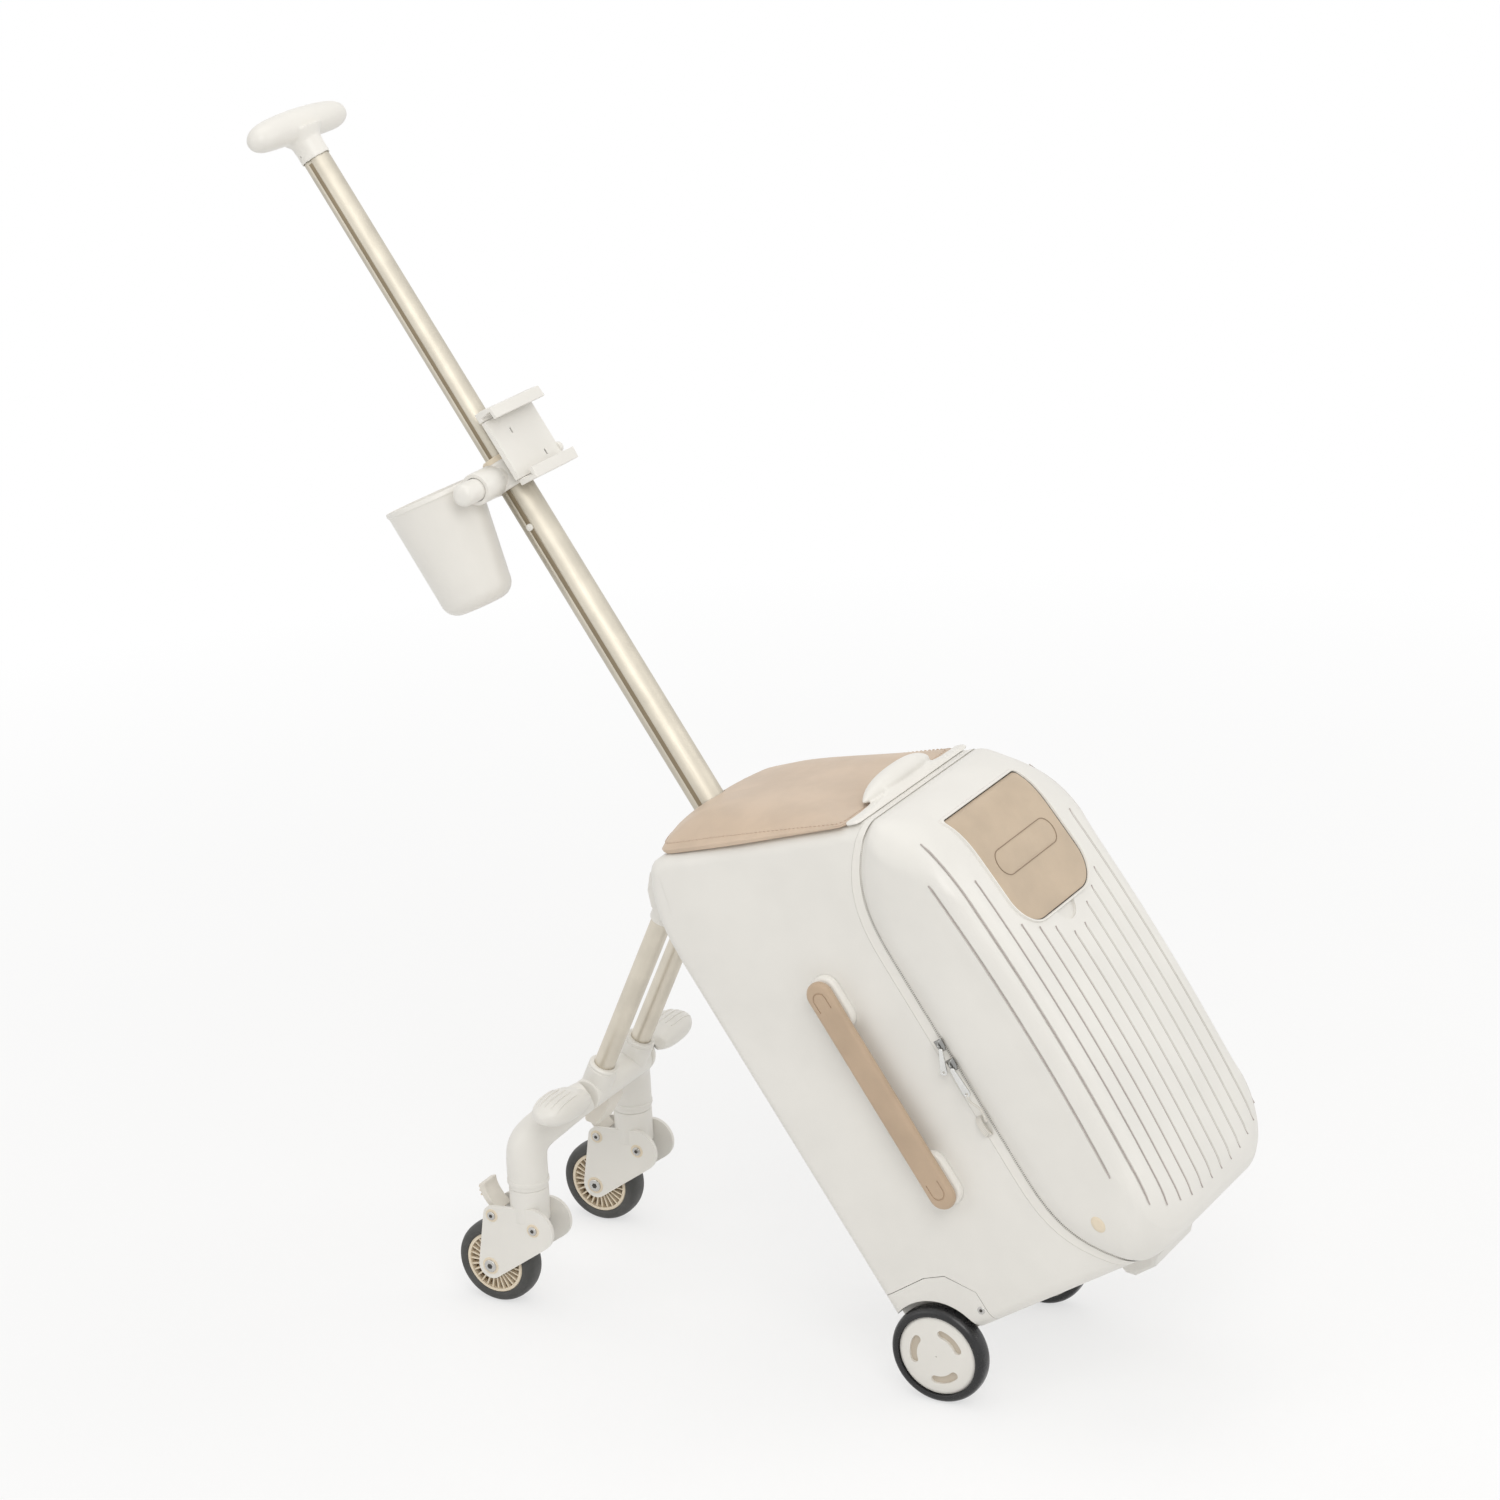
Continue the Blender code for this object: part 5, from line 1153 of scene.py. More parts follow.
def make_stitches():
    path = [Vector(p) for p in seat_ring(STITCH_IN, pad_share(STITCH_IN / 1.004), 0.0001)]
    path.append(path[0])
    stitches = []
    run = 0.0
    for a, b in zip(path, path[1:]):
        length = (b - a).length
        along = (b - a) / max(length, 1e-9)
        while run < length:
            start = a + along * run
            points = []
            for k, up in enumerate((0.0, 0.00035, 0.00035, 0.0)):
                points.append(start + along * (STITCH_STEP * STITCH_SHARE * k / 3) + Vector((0, 0, up)))
            stitches.append(sweep(points, [0.0003, 0.0004, 0.0004, 0.0003], 6))
            run += STITCH_STEP
        run -= length
    piece("seat_stitches", merge(*stitches), CASE, THREAD, "case")


def grab_form(grow, count):
    sections = []
    for f in ends(16):
        full = max((1 - abs(f) ** 6) ** 0.5, 0.12)
        r = (GRAB_TIP_R + (GRAB_R - GRAB_TIP_R) * (1 - abs(f) ** 3)) * full + grow
        x = f * (GRAB_HALF_L + grow)
        y = -(GRAB_DEPTH - 0.004 * f * f)
        z = GRAB_Z - 0.004 * f * f
        sections.append([(x, y + r * 1.15 * c, z + r * 0.95 * s) for c, s in circle(count)])
    return loft(sections)


def front_cover():
    # White band between the pad and the zip, which swells into the grab bar's foot.
    back = PAD_FRONT_DEPTH + 0.0008
    front = SEAT_FRONT_DEPTH
    half = SEAT_HALF_W - 0.001
    big = 0.005
    small = 0.002
    outline = arc(half - big, front - big, big, 0, 90, 8) + arc(big - half, front - big, big, 90, 90, 8)
    outline += arc(small - half, back + small, small, 180, 90, 8)
    outline += arc(half - small, back + small, small, 270, 90, 8)
    middle = (back + front) / 2
    rings = []
    for f, h in COVER:
        ring = []
        for x, d in divided(outline, 0.005):
            depth = middle + (d - middle) * f
            px = x - math.copysign(min(abs(x), (1 - f) * (front - back) / 2), x)
            swell = 0.0050 * math.exp(-((px / 0.055) ** 4)) * h
            ring.append((px, -depth, top_z(depth) + GAP + COVER_RISE * h + swell))
        rings.append(ring)
    return loft(rings)


def make_grab_bar():
    back = GRAB_DEPTH - GRAB_BASE_LEN / 2
    front = GRAB_DEPTH + GRAB_BASE_LEN / 2
    outline = [(-back - 0.001, top_z(back) + GAP), (-back - 0.001, GRAB_Z)]
    outline += [(-front + 0.001, GRAB_Z), (-front + 0.001, top_z(front) + GAP)]
    bar = piece("grab_bar_skin", grab_form(0, 48), CASE, TRIM, "case", ["grab_bar"], 50)
    carve(bar, prism_x(outline, -GRAB_BASE_HALF_W, GRAB_BASE_HALF_W), CASE, "UNION")
    carve(bar, front_cover(), CASE, "UNION")
    melt(bar, 12)


# Side grip and zip hardware


def grip_outline(z_low, z_high, r, steps):
    return arc(-HANDLE_DEPTH, z_high, r, 0, 180, steps) + arc(-HANDLE_DEPTH, z_low, r, 180, 180, steps)


def make_side_grip():
    wall = -CASE_HALF_W
    bar_in = wall - HANDLE_RISE
    bar_out = bar_in - HANDLE_T
    layers = []
    for c, s in arc(0, 0, 1, 0, 180, 8):
        r = HANDLE_R - 0.0035 * (1 - s)
        x = (bar_in + bar_out) / 2 + HANDLE_T / 2 * c
        layers.append((x, grip_outline(HANDLE_Z0 - 0.001, HANDLE_Z1, r, 16)))
    grip = piece("carry_grip_skin", stack_x(layers), CASE, GRIP, "grip", ["carry_grip"], 60)
    for name, z, way in (("upper", HANDLE_Z1, 1), ("lower", HANDLE_Z0, -1)):
        low, high = sorted((z + 0.001 * way, z - 0.024 * way))
        layers = [(wall - up, grip_outline(low, high, MOUNT_R - inward, 14)) for inward, up in MOUNT_STEPS]
        piece("mount_skin_" + name, stack_x(layers), CASE, TRIM, "case", ["handle_mount_" + name], 50)
        end = z - way * 0.003
        seam = arc(-HANDLE_DEPTH, end, SEAM_R, 90 - 90 * way, 180, 12)
        seam = [(seam[0][0], end - way * SEAM_LEG), *seam, (seam[-1][0], end - way * SEAM_LEG)]
        carve(grip, sweep([(bar_out + 0.0002, y, at_z) for y, at_z in seam], 0.0007, 10), CASE)


def make_sliders():
    out = -CASE_HALF_W - SLIDER_LIFT
    face = out - SLIDER_T - 0.0004
    half = SLIDER_L / 2
    for name, z, long, aside in zip(("upper", "lower"), SLIDER_Z, PULL_L, PULL_SIDE):
        layers = []
        for inward, up in SLIDER_STEPS:
            w = SLIDER_W / 2 - inward
            h = half - inward
            layers.append((out - up, [(-ZIP_DEPTH + w * y, z + h * at_z) for y, at_z in SLIDER_SHAPE]))
        tag = "zip_slider_" + name
        piece("slider_skin_" + name, stack_x(layers), CASE, CHROME, "slider_" + name, [tag], 40, 0.0004, 2)
        bow = [(out - 0.003, z + half * 0.7), (out - 0.0058, z), (out - 0.003, z - half * 0.7)]
        bridge = sweep(smooth_path([(x, -ZIP_DEPTH, at_z) for x, at_z in bow], 6), 0.0009, 12)
        piece("slider_bridge_" + name, bridge, CASE, CHROME, "slider_" + name)
        y = -ZIP_DEPTH - aside
        top = z - half - GAP
        outline = arc(y, top - long + 0.0035, 0.0035, 180, 180, 12)
        outline += arc(-ZIP_DEPTH, top + 0.0020, 0.0021, 0, 180, 12)
        plate = prism_x(outline, face - 0.0016, face)
        pull = piece("pull_skin_" + name, plate, CASE, NICKEL, "pull_" + name, ["zip_pull_" + name], 40)
        hole = spun([(0.0012, -0.006), (0.0012, 0.006)], 16, "x")
        carve(pull, hole, CASE @ move(face, y, top - long + 0.0030))
        soften(pull, 0.0003, 2, harden=False)
    points = smooth_path([(out + x, -ZIP_DEPTH + y, SLIDER_Z[1] - drop) for x, y, drop in TIE_DROPS], 8)
    tie = sweep(points, [0.0011] * (len(points) - 3) + [0.0014, 0.0015, 0.0008], 10)
    piece("pull_tie", tie, CASE, TIE, "pull_lower", smooth=60)
    rings = []
    for c, s in arc(0, 0, 1, 0, 180, 8):
        x = -CASE_HALF_W - 0.0004 - 0.0042 * s
        z = LOOP_Z - 0.009 * c
        ring = []
        for dy, thick in ((-0.003, 0.0006), (0.003, 0.0006), (0.003, -0.0006), (-0.003, -0.0006)):
            ring.append((x - s * thick, -LOOP_DEPTH + dy, z - c * thick))
        rings.append(ring)
    piece("zip_fabric_loop", loft(rings), CASE, TIE, "case", smooth=50)


# Pole


def pole_tube(r, z0, z1, groove, count=96):
    # Thin tube with a shallow channel along each side.
    wide = groove / r
    outline = []
    for i in range(count):
        a = 2 * math.pi * i / count
        side = min(abs(math.remainder(a, 2 * math.pi)), abs(math.remainder(a - math.pi, 2 * math.pi)))
        outer = r - CHANNEL_DEPTH * min(1.0, max(0.0, wide * POLE_EDGE - side) / (wide * 0.25))
        outline.append((outer * math.cos(a), outer * math.sin(a)))
    levels = ((z0, 0.93), (z0, 1.0), (z1 - 0.0005, 1.0), (z1, 0.985), (z1, 0.90), (z1 - 0.02, 0.90))
    return loft([[(x * k, y * k, z) for x, y in outline] for z, k in levels], caps=False)


def channel_strip(r, z0, z1, groove, sign):
    # Inset strip lining the side channel; its dark colour is a painted reflection.
    wide = math.degrees(groove / r)
    outline = arc(0, 0, r - 0.0007, -wide, 2 * wide, 6) + arc(0, 0, r - 0.0016, wide, -2 * wide, 6)
    return loft([[(sign * x, y, z) for x, y in outline] for z in (z0, z1)])


def make_pole():
    stages = (
        ("lower", LOWER_R, LOWER_TOP_Z - LOWER_LEN, LOWER_TOP_Z, POLE_GROOVE[0], 0.002),
        ("upper", UPPER_R, UPPER_TOP_Z - UPPER_LEN, UPPER_TOP_Z, POLE_GROOVE[1], 0.009),
    )
    for name, r, z0, z1, groove, clear in stages:
        tube = pole_tube(r, z0, z1, groove)
        piece("pole_" + name + "_skin", tube, POLE, POLE_METAL, name + "_pole", ["pole_" + name], 50)
    # Dark strips in the side channels paint the tubes' dark reflection stripes.
    for side, sign in SIDES:
        for name, r, z0, z1, groove, clear in stages:
            strip = channel_strip(r, z0 + 0.002, z1 - clear, groove, sign)
            piece(name + "_channel_" + side, strip, POLE, CHANNEL_REFLECTION, name + "_pole", smooth=60)
    r = LOWER_R + 0.0014
    bore = LOWER_R + 0.0005
    high = top_z(POLE_DEPTH) + seat_height(POLE_DEPTH) * 0.66
    seal = [(r, 0.460), (r, high - 0.001), (r - 0.0003, high), (bore, high), (bore, 0.460)]
    piece("pole_seal_skin", spun(seal, 64, closed=True), POLE, SEAL, "case", ["pole_seal"], 50)
    stop = facing(spun(STOP, 28, "x"), -1)
    spot = POLE @ move(-(LOWER_R - 0.0022), 0, LOCK_Z)
    piece("stage_stop_skin", stop, spot, TRIM, "lower_pole", ["stage_stop"])
    collar = [(LOWER_R + 0.0001, -0.004), (LOWER_R + 0.0013, -0.003), (LOWER_R + 0.0013, 0.0015)]
    collar += [(LOWER_R, 0.0028), (UPPER_R + 0.0006, 0.0028), (UPPER_R + 0.0006, -0.004)]
    ring = spun([(r, LOWER_TOP_Z + up) for r, up in collar], 64, closed=True)
    piece("stage_collar", ring, POLE, CREAM, "lower_pole", smooth=50)


def make_handle():
    rings = []
    for f in ends(20):
        end = max((1 - abs(f) ** 9) ** 0.5, 0.10)
        r = (T_R_END + (T_R_MID - T_R_END) * (1 - f * f)) * end
        base = T_Z + 0.0025 - 0.0015 * f * f
        ring = []
        for c, s in circle(48):
            up = s if s < 0 else s * 0.95
            ring.append((f * T_HALF_L, r * 1.10 * c, base + r * up + 0.0020 * (1 - f * f) * max(s, 0)))
        rings.append(ring)
    low = UPPER_TOP_Z - 0.007
    bore = UPPER_R + 0.0004
    skirt = UPPER_R + 0.0012
    neck = [(bore, low), (skirt, low), (UPPER_R + 0.0015, low + 0.0010), (skirt, low + 0.008)]
    neck += [(T_NECK_R, T_Z - 0.013), (T_NECK_R + 0.0070, T_Z - 0.004), (bore, T_Z - 0.004)]
    handle = piece("t_handle_skin", loft(rings), POLE, TRIM, "upper_pole", ["t_handle"], 60)
    carve(handle, spun(neck, 64, closed=True), POLE, "UNION")
    melt(handle, 14)
    high = T_Z + T_R_MID + 0.0022
    cap = [(BUTTON_R, high - 0.0055), (BUTTON_R, high - 0.0014), (BUTTON_R - 0.0004, high - 0.0006)]
    cap += [(BUTTON_R - 0.0016, high), (0.003, high + 0.0004)]
    piece("button_skin", spun(cap, 48), POLE, TRIM, "button", ["release_button"], 50)


def make_clamp():
    z0 = -CLAMP_H / 2
    z1 = CLAMP_H / 2
    grip = LOWER_R + 0.0002
    parts = [spun([(grip, z0), *disc(CLAMP_R, z0, z1, 0.003), (grip, z1)], 64, closed=True)]
    stations = [(0.017, 1.12), (0.021, 1.10), (0.025, 1.02), (0.030, 1.0)]
    for k in range(7):
        a = math.pi / 2 * k / 6
        stations.append((ARM_REACH - 0.006 + 0.006 * math.sin(a), 0.3 + 0.7 * math.cos(a)))
    for sign in (-1, 1):
        rings = [[(sign * x, ARM_R * f * c, ARM_R * f * s) for c, s in circle(48)] for x, f in stations]
        parts.append(loft(rings))
    parts.append(box(-0.0065, 0.0065, CLAMP_R - 0.003, CLAMP_R + 0.0065, z0 + 0.005, z1 - 0.005))
    piece("clamp_skin", merge(*parts), CLAMP, TRIM, "lower_pole", ["clamp"], 40, 0.0008, 2, 60)
    # A dark slab in the clamp's slit paints the shade inside it.
    split = box(-0.0006, 0.0006, CLAMP_R - 0.001, CLAMP_R + 0.0068, z0 + 0.0045, z1 - 0.0045)
    piece("clamp_split", split, CLAMP, GAP_SHADE, "lower_pole")
    screw = spun(disc(0.0042, 0, 0.0026, 0.0006), 32, "x")
    piece("clamp_screw", screw, CLAMP @ move(0.0064, CLAMP_R + 0.0025, 0), STEEL, "lower_pole")


def hook_band(x0, width):
    inner = ARM_R + RUN_GAP
    outer = inner + HOOK_WALL
    x1 = x0 + width
    profile = [(inner, x0), (outer - 0.0006, x0), (outer, x0 + 0.0008)]
    profile += [(outer, x1 - 0.0008), (outer - 0.0006, x1), (inner, x1)]
    return spun(profile, 56, "x", closed=True)


def make_cup():
    back = POLE_DEPTH - CUP_DEPTH
    rise = CUP_RIM_Z - CLAMP_Z
    y = back * math.cos(CUP_LEAN) - rise * math.sin(CUP_LEAN)
    z = back * math.sin(CUP_LEAN) + rise * math.cos(CUP_LEAN)
    r = CUP_R_TOP
    low = -CUP_H
    foot = CUP_FOOT_R
    flat = CUP_R_BOTTOM - foot
    profile = [(0.004, low + 0.001), (flat - 0.002, low + 0.001), *arc(flat, low + foot, foot, -90, 90, 9)]
    profile += [(r - 0.0009, -0.006), (r - 0.0003, -0.0045), (r + 0.0004, -0.0040), (r + 0.0004, -0.0008)]
    profile += [(r - 0.0002, 0.0), (r - CUP_WALL + 0.0002, 0.0), (r - CUP_WALL - 0.0003, -0.0008)]
    profile += arc(flat - CUP_WALL, low + foot + 0.001 + CUP_WALL, foot, 0, -90, 9)
    profile.append((0.004, low + 0.002 + CUP_WALL))
    body = spun(profile, 96)
    body.transform(move(CUP_X, y, z))
    web = box(CUP_X - 0.009, CUP_X + 0.009, ARM_R + RUN_GAP + 0.001, y - r + 0.004, -0.006, 0.006)
    joined = merge(body, hook_band(CUP_X - HOOK_W / 2, HOOK_W), web)
    piece("cup_skin", joined, CUP, TRIM, "cup", ["cup"], 45)


def make_phone_holder():
    back = -(CLAMP_R + RUN_GAP)
    front = back - PLATE_T
    z0 = PLATE_Z0 - CLAMP_Z
    z1 = z0 + PLATE_H
    form = box(PLATE_X0, PLATE_X1, front, back, z0, z1)
    plate = piece("phone_plate_skin", form, CLAMP, TRIM, "lower_pole", ["phone_plate"])
    for side, x, z in (("upper", PLATE_X0 + 0.027, z0 + 0.041), ("lower", PLATE_X1 - 0.020, z0 + 0.011)):
        slot = (x - 0.0008, x + 0.0008), (z - 0.0024, z + 0.0024)
        carve(plate, box(*slot[0], front - 0.001, front + 0.0013, *slot[1]), CLAMP)
        # Dark slot floors paint the shade inside the slots.
        floor = box(*slot[0], front + 0.0010, front + 0.0014, *slot[1])
        piece("plate_slot_" + side, floor, CLAMP, GAP_SHADE, "lower_pole")
    room = box(PLATE_X0 + 0.010, PLATE_X1 - 0.010, front + 0.0015, back + 0.001, z1 - 0.034, z1 + 0.01)
    carve(plate, room, CLAMP)
    soften(plate, 0.0010)
    web = box(0.0265, 0.0465, back - 0.0012, -ARM_R - RUN_GAP - 0.001, -0.006, 0.006)
    piece("phone_hook", merge(hook_band(0.0235, 0.026), web), CLAMP, TRIM, "lower_pole", smooth=45)
    lip = front - JAW_REACH
    low = z0 - GAP
    outline = [(back, low), (back, low - 0.0055), (lip, low - 0.0070), (lip - 0.0008, low + JAW_LIP)]
    outline += [(lip + 0.0030, low + JAW_LIP), (lip + 0.0034, low - 0.0030)]
    outline += [(front, low - 0.0012), (front, low)]
    jaw = prism_x(outline, PLATE_X0 + 0.004, PLATE_X1 - 0.002)
    piece("lower_jaw_skin", jaw, CLAMP, TRIM, "lower_pole", ["phone_lower_jaw"], 40, JAW_EDGE)
    high = z1 + GAP
    outline = [(back, high), (front, high), (front, high + 0.0030), (lip + 0.0034, high + 0.0040)]
    outline += [(lip + 0.0030, high - JAW_LIP), (lip - 0.0008, high - JAW_LIP), (lip, high + JAW_H - 0.002)]
    outline += [(front - 0.004, high + JAW_H), (back, high + JAW_H)]
    jaw = prism_x(outline, PLATE_X0 - 0.002, PLATE_X1 + 0.002)
    tongue_y = front + 0.0015 + GAP
    tongue = box(PLATE_X0 + 0.012, PLATE_X1 - 0.012, tongue_y, tongue_y + 0.0022, z1 - 0.030, high + 0.002)
    piece("upper_jaw_skin", merge(jaw, tongue), CLAMP, TRIM, "phone_jaw", ["phone_upper_jaw"], 40, JAW_EDGE)
    knob = spun(disc(0.0048, 0, 0.0050, 0.0012), 40, "x")
    spot = CLAMP @ move(PLATE_X1 - 0.0008, (front + back) / 2, z0 + 0.010)
    piece("plate_knob", knob, spot, TRIM, "lower_pole")


# Leg


def make_leg():
    outline = [
        (-CASE_BACK - 0.004, HOUSE_Z0),
        (-HOUSE_BACK - 0.003, HOUSE_Z0),
        (-HOUSE_BACK, HOUSE_Z0 + 0.004),
        (-HOUSE_BACK, PIVOT_Z),
        (-HOUSE_BACK - 0.006, HOUSE_Z1 - 0.014),
        (-HOUSE_BACK - 0.018, HOUSE_Z1 - 0.002),
        (-HOUSE_BACK - 0.026, HOUSE_Z1),
        (-CASE_BACK - 0.016, HOUSE_Z1),
    ]
    form = prism_x(outline, -HOUSE_HALF_W, HOUSE_HALF_W)
    house = piece("hinge_skin", form, CASE, SHELL, "case", ["hinge_housing"], 40)
    inner = HOUSE_HALF_W - HOUSE_EAR
    low = HOUSE_Z0 - 0.01
    slot = box(-inner, inner, HOUSE_PLATE - CASE_BACK, 0.01 - HOUSE_BACK, low, PIVOT_Z + 0.0145)
    carve(house, slot, CASE)
    soften(house, HOUSE_EDGE, 4)
    half = inner - RUN_GAP
    parts = [spun(disc(STUB_R, -half, half, 0.0015), 48, "x")]
    parts += [spun(disc(STUB_R, -STUB_LEN, 0.0, 0.0015), 48, x=sign * LEG_X) for sign in (-1, 1)]
    piece("leg_yoke_skin", merge(*parts), LEG, TRIM, "leg", ["leg_yoke"], 40)
    low = -LEG_LEN + 0.004
    for side, sign in SIDES:
        rings = []
        for z, k in ((low, 0.80), (low, 1.0), (-0.0115, 1.0), (-0.0115, 0.80)):
            rings.append([(sign * LEG_X + LEG_R * k * c, LEG_R * k * s, z) for c, s in circle(64)])
        piece("leg_tube_skin_" + side, loft(rings), LEG, LEG_METAL, "leg", ["leg_tube_" + side], 50)
    top = -LEG_LEN + COLLAR_UP
    bore = LEG_R + 0.0002
    profile = [(COLLAR_R, BAR_LOW), (COLLAR_R, top - 0.0045), (COLLAR_R - 0.0006, top - 0.0040)]
    profile += [(COLLAR_R - 0.0006, top - 0.0030), (COLLAR_R, top - 0.0025), (COLLAR_R, top - 0.0014)]
    profile += [(COLLAR_R - 0.0014, top), (bore, top), (bore, BAR_LOW)]
    parts = [spun(disc(BAR_R, -BAR_HALF_L, BAR_HALF_L, 0.0012), 56, "x", z=BAR_LOW)]
    parts += [spun(profile, 48, closed=True, x=sign * LEG_X) for sign in (-1, 1)]
    piece("crossbar_skin", merge(*parts), LEG, TRIM, "leg", ["leg_crossbar"], 40)
    make_hook()
    for side, sign in SIDES:
        make_arm(side, sign)
        make_pedal(side, sign)


def make_hook():
    y0 = BAR_CENTRE.y + 0.002
    top = BAR_CENTRE.z - BAR_R + 0.004
    low = BAR_CENTRE.z - HOOK_DROP
    back = y0 + HOOK_BACK
    outline = [
        (y0 - HOOK_T / 2, top),
        (y0 - HOOK_T / 2, top - 0.012),
        (back - HOOK_T, low + 0.004),
        (back - HOOK_T + 0.003, low),
        (back + 0.006, low + 0.002),
        (back + 0.008, low + 0.020),
        (y0 + HOOK_T, top - 0.006),
        (y0 + HOOK_T, top),
    ]
    body = prism_x(outline, -HOOK_HALF_W, HOOK_HALF_W)
    piece("stow_hook_skin", body, WORLD, WARM_WHITE, "leg", ["stow_hook"], 40, 0.0012, 3)
    ribs = []
    x = HOOK_HALF_W - 0.002
    for k in range(7):
        z = low + 0.004 + 0.0027 * k
        y = back + 0.006 + 0.002 * min(1.0, (z - low) / 0.018)
        ribs.append(sweep([(-x, y, z), (0, y + 0.0006, z), (x, y, z)], RIB_R, 10))
    piece("hook_ribs", merge(*ribs), WORLD, CREAM, "leg", smooth=50)


def arm_path(sign, steps):
    y = BAR_CENTRE.y
    z = BAR_CENTRE.z
    points = [
        (BAR_HALF_L + GAP, y, z),
        (0.057, y + 0.006, z - 0.004),
        (0.070, y + 0.018, z - 0.014),
        (0.083, y + 0.031, z - 0.026),
        (CASTER_X - 0.002, SWIVEL_Y - 0.0015, ELBOW_Z + 0.010),
        (CASTER_X, SWIVEL_Y, ELBOW_Z - 0.003),
        (CASTER_X, SWIVEL_Y, SLEEVE_BOTTOM),
    ]
    return smooth_path([(sign * x, y, z) for x, y, z in points], steps)


def make_arm(side, sign):
    sizes = [BAR_R, 0.0155, ARM_TUBE_R, 0.0172, 0.0182, SLEEVE_R, SLEEVE_R]
    radii = [float(v[0]) for v in smooth_path([(r, 0) for r in sizes], 6)]
    radii[-1] = SLEEVE_R - 0.0008
    radii[0] = BAR_R - 0.0004
    arm = sweep(arm_path(sign, 6), radii, 48)
    piece("arm_skin_" + side, arm, WORLD, TRIM, "leg", ["caster_arm_" + side], 50)
    sleeve = spun([(SLEEVE_R + out, SLEEVE_BOTTOM + up) for out, up in BAND_STEPS], 64, closed=True)
    piece("sleeve_band_" + side, sleeve, swivel(sign), TRIM, "leg", smooth=50)


def pedal_size(f):
    # Half width and half height of the pedal, from f -1 at its inner end to 1.
    full = max((1 - min(abs(f), 0.9995) ** 2.6) ** 0.5, 0.12)
    wide = PEDAL_HALF_W * (0.55 + 0.45 * full) if f < 0 else PEDAL_HALF_W * full
    if f < -0.9:
        wide *= max(full, 0.3)
    return wide, PEDAL_HALF_H * full


def pedal_form(sign, count):
    rings = []
    for f in ends(14):
        x = sign * (PEDAL_X + f * PEDAL_HALF_L)
        wide, high = pedal_size(f)
        ring = []
        for c, s in circle(count):
            px = math.copysign(abs(c) ** 0.85, c)
            pz = math.copysign(abs(s) ** 0.85, s)
            ring.append((x, PEDAL_Y + wide * px, PEDAL_Z + high * pz + 0.001 * f))
        rings.append(ring)
    return loft(rings)


def make_pedal(side, sign):
    form = pedal_form(sign, 40)
    pedal = piece("pedal_skin_" + side, form, WORLD, TRIM, "pedal_" + side, ["foot_pedal_" + side], 60)
    hinge = move(sign * PEDAL_HINGE_X, PEDAL_Y, PEDAL_Z)
    radii = [ARM_TUBE_R + PEDAL_CLEAR] * 10 + [SLEEVE_R + PEDAL_CLEAR] * 9
    for angle in range(0, PEDAL_FOLD + 1, PEDAL_STEP):
        turn = Matrix.Rotation(sign * math.radians(angle), 4, "Y")
        carve(pedal, sweep(arm_path(sign, 3), radii, 24), WORLD @ hinge @ turn @ hinge.inverted())
    ribs = []
    for k in range(5):
        y = PEDAL_Y + (k - 2) * 0.0062
        points = []
        for j in range(9):
            f = -0.30 + 1.05 * j / 8
            wide, high = pedal_size(f)
            across = min(abs(y - PEDAL_Y) / wide, 0.98)
            rise = high * (1 - across**2.35) ** 0.425
            points.append((sign * (PEDAL_X + f * PEDAL_HALF_L), y, PEDAL_Z + rise + 0.001 * f + 0.0001))
        ribs.append(sweep(points, [0.0004, 0.0008] + [0.0010] * 5 + [0.0008, 0.0004], 10))
    piece("pedal_ribs_" + side, merge(*ribs), WORLD, TRIM, "pedal_" + side, smooth=60)


# Wheels


def make_caster(side, sign):
    at = swivel(sign)
    body = "fork_" + side
    outer = FORK_IN + FORK_T
    outline = hull_outline([(DRUM_Y, DRUM_Z, DRUM_R), (REAR_Y, REAR_Z, REAR_R), (TRAIL, CASTER_R, TOE_R)])
    parts = [prism_x(outline, k * FORK_IN, k * outer) for k in (-1, 1)]
    reach = outer - 0.0006
    parts.append(spun(disc(DRUM_R, -reach, reach, 0.0012), 64, "x", y=DRUM_Y, z=DRUM_Z))
    fork = piece("fork_skin_" + side, merge(*parts), at, TRIM, body, ["fork_" + side], 40, FORK_EDGE)
    room = CASTER_R + 0.0016
    carve(fork, spun([(room, -FORK_IN), (room, FORK_IN)], 72, "x"), at @ move(0, TRAIL, CASTER_R))
    head = spun(disc(FORK_HEAD_R, FORK_HEAD_Z - 0.010, SLEEVE_BOTTOM - GAP, 0.0012), 64)
    piece("fork_head_" + side, head, at, TRIM, body, smooth=50)
    spots = (
        ("drum", DRUM_Y, DRUM_Z, 0.0042),
        ("pin", REAR_Y, REAR_Z, 0.0040),
        ("axle", TRAIL, CASTER_R, 0.0060),
    )
    for k, end in ((-1, "a"), (1, "b")):
        for name, y, z, r in spots:
            # The dark socket discs paint the shade inside the screw sockets.
            for form, profile, count, mat in (
                ("washer_", disc(r + 0.0022, -0.0004, 0.0005, 0.0002), 40, CREAM),
                ("screw_", disc(r, 0.0, 0.0018, 0.0007), 40, STEEL),
                ("socket_", [(r * SOCKET_SHARE, 0.0012), (r * SOCKET_SHARE, 0.0020)], 6, GAP_SHADE),
            ):
                part = facing(spun(profile, count, "x"), k)
                piece(form + name + "_" + side + "_" + end, part, at @ move(k * outer, y, z), mat, body)
    make_brake(side, at @ move(0, REAR_Y, REAR_Z))
    make_caster_wheel(side, at @ move(0, TRAIL, CASTER_R))


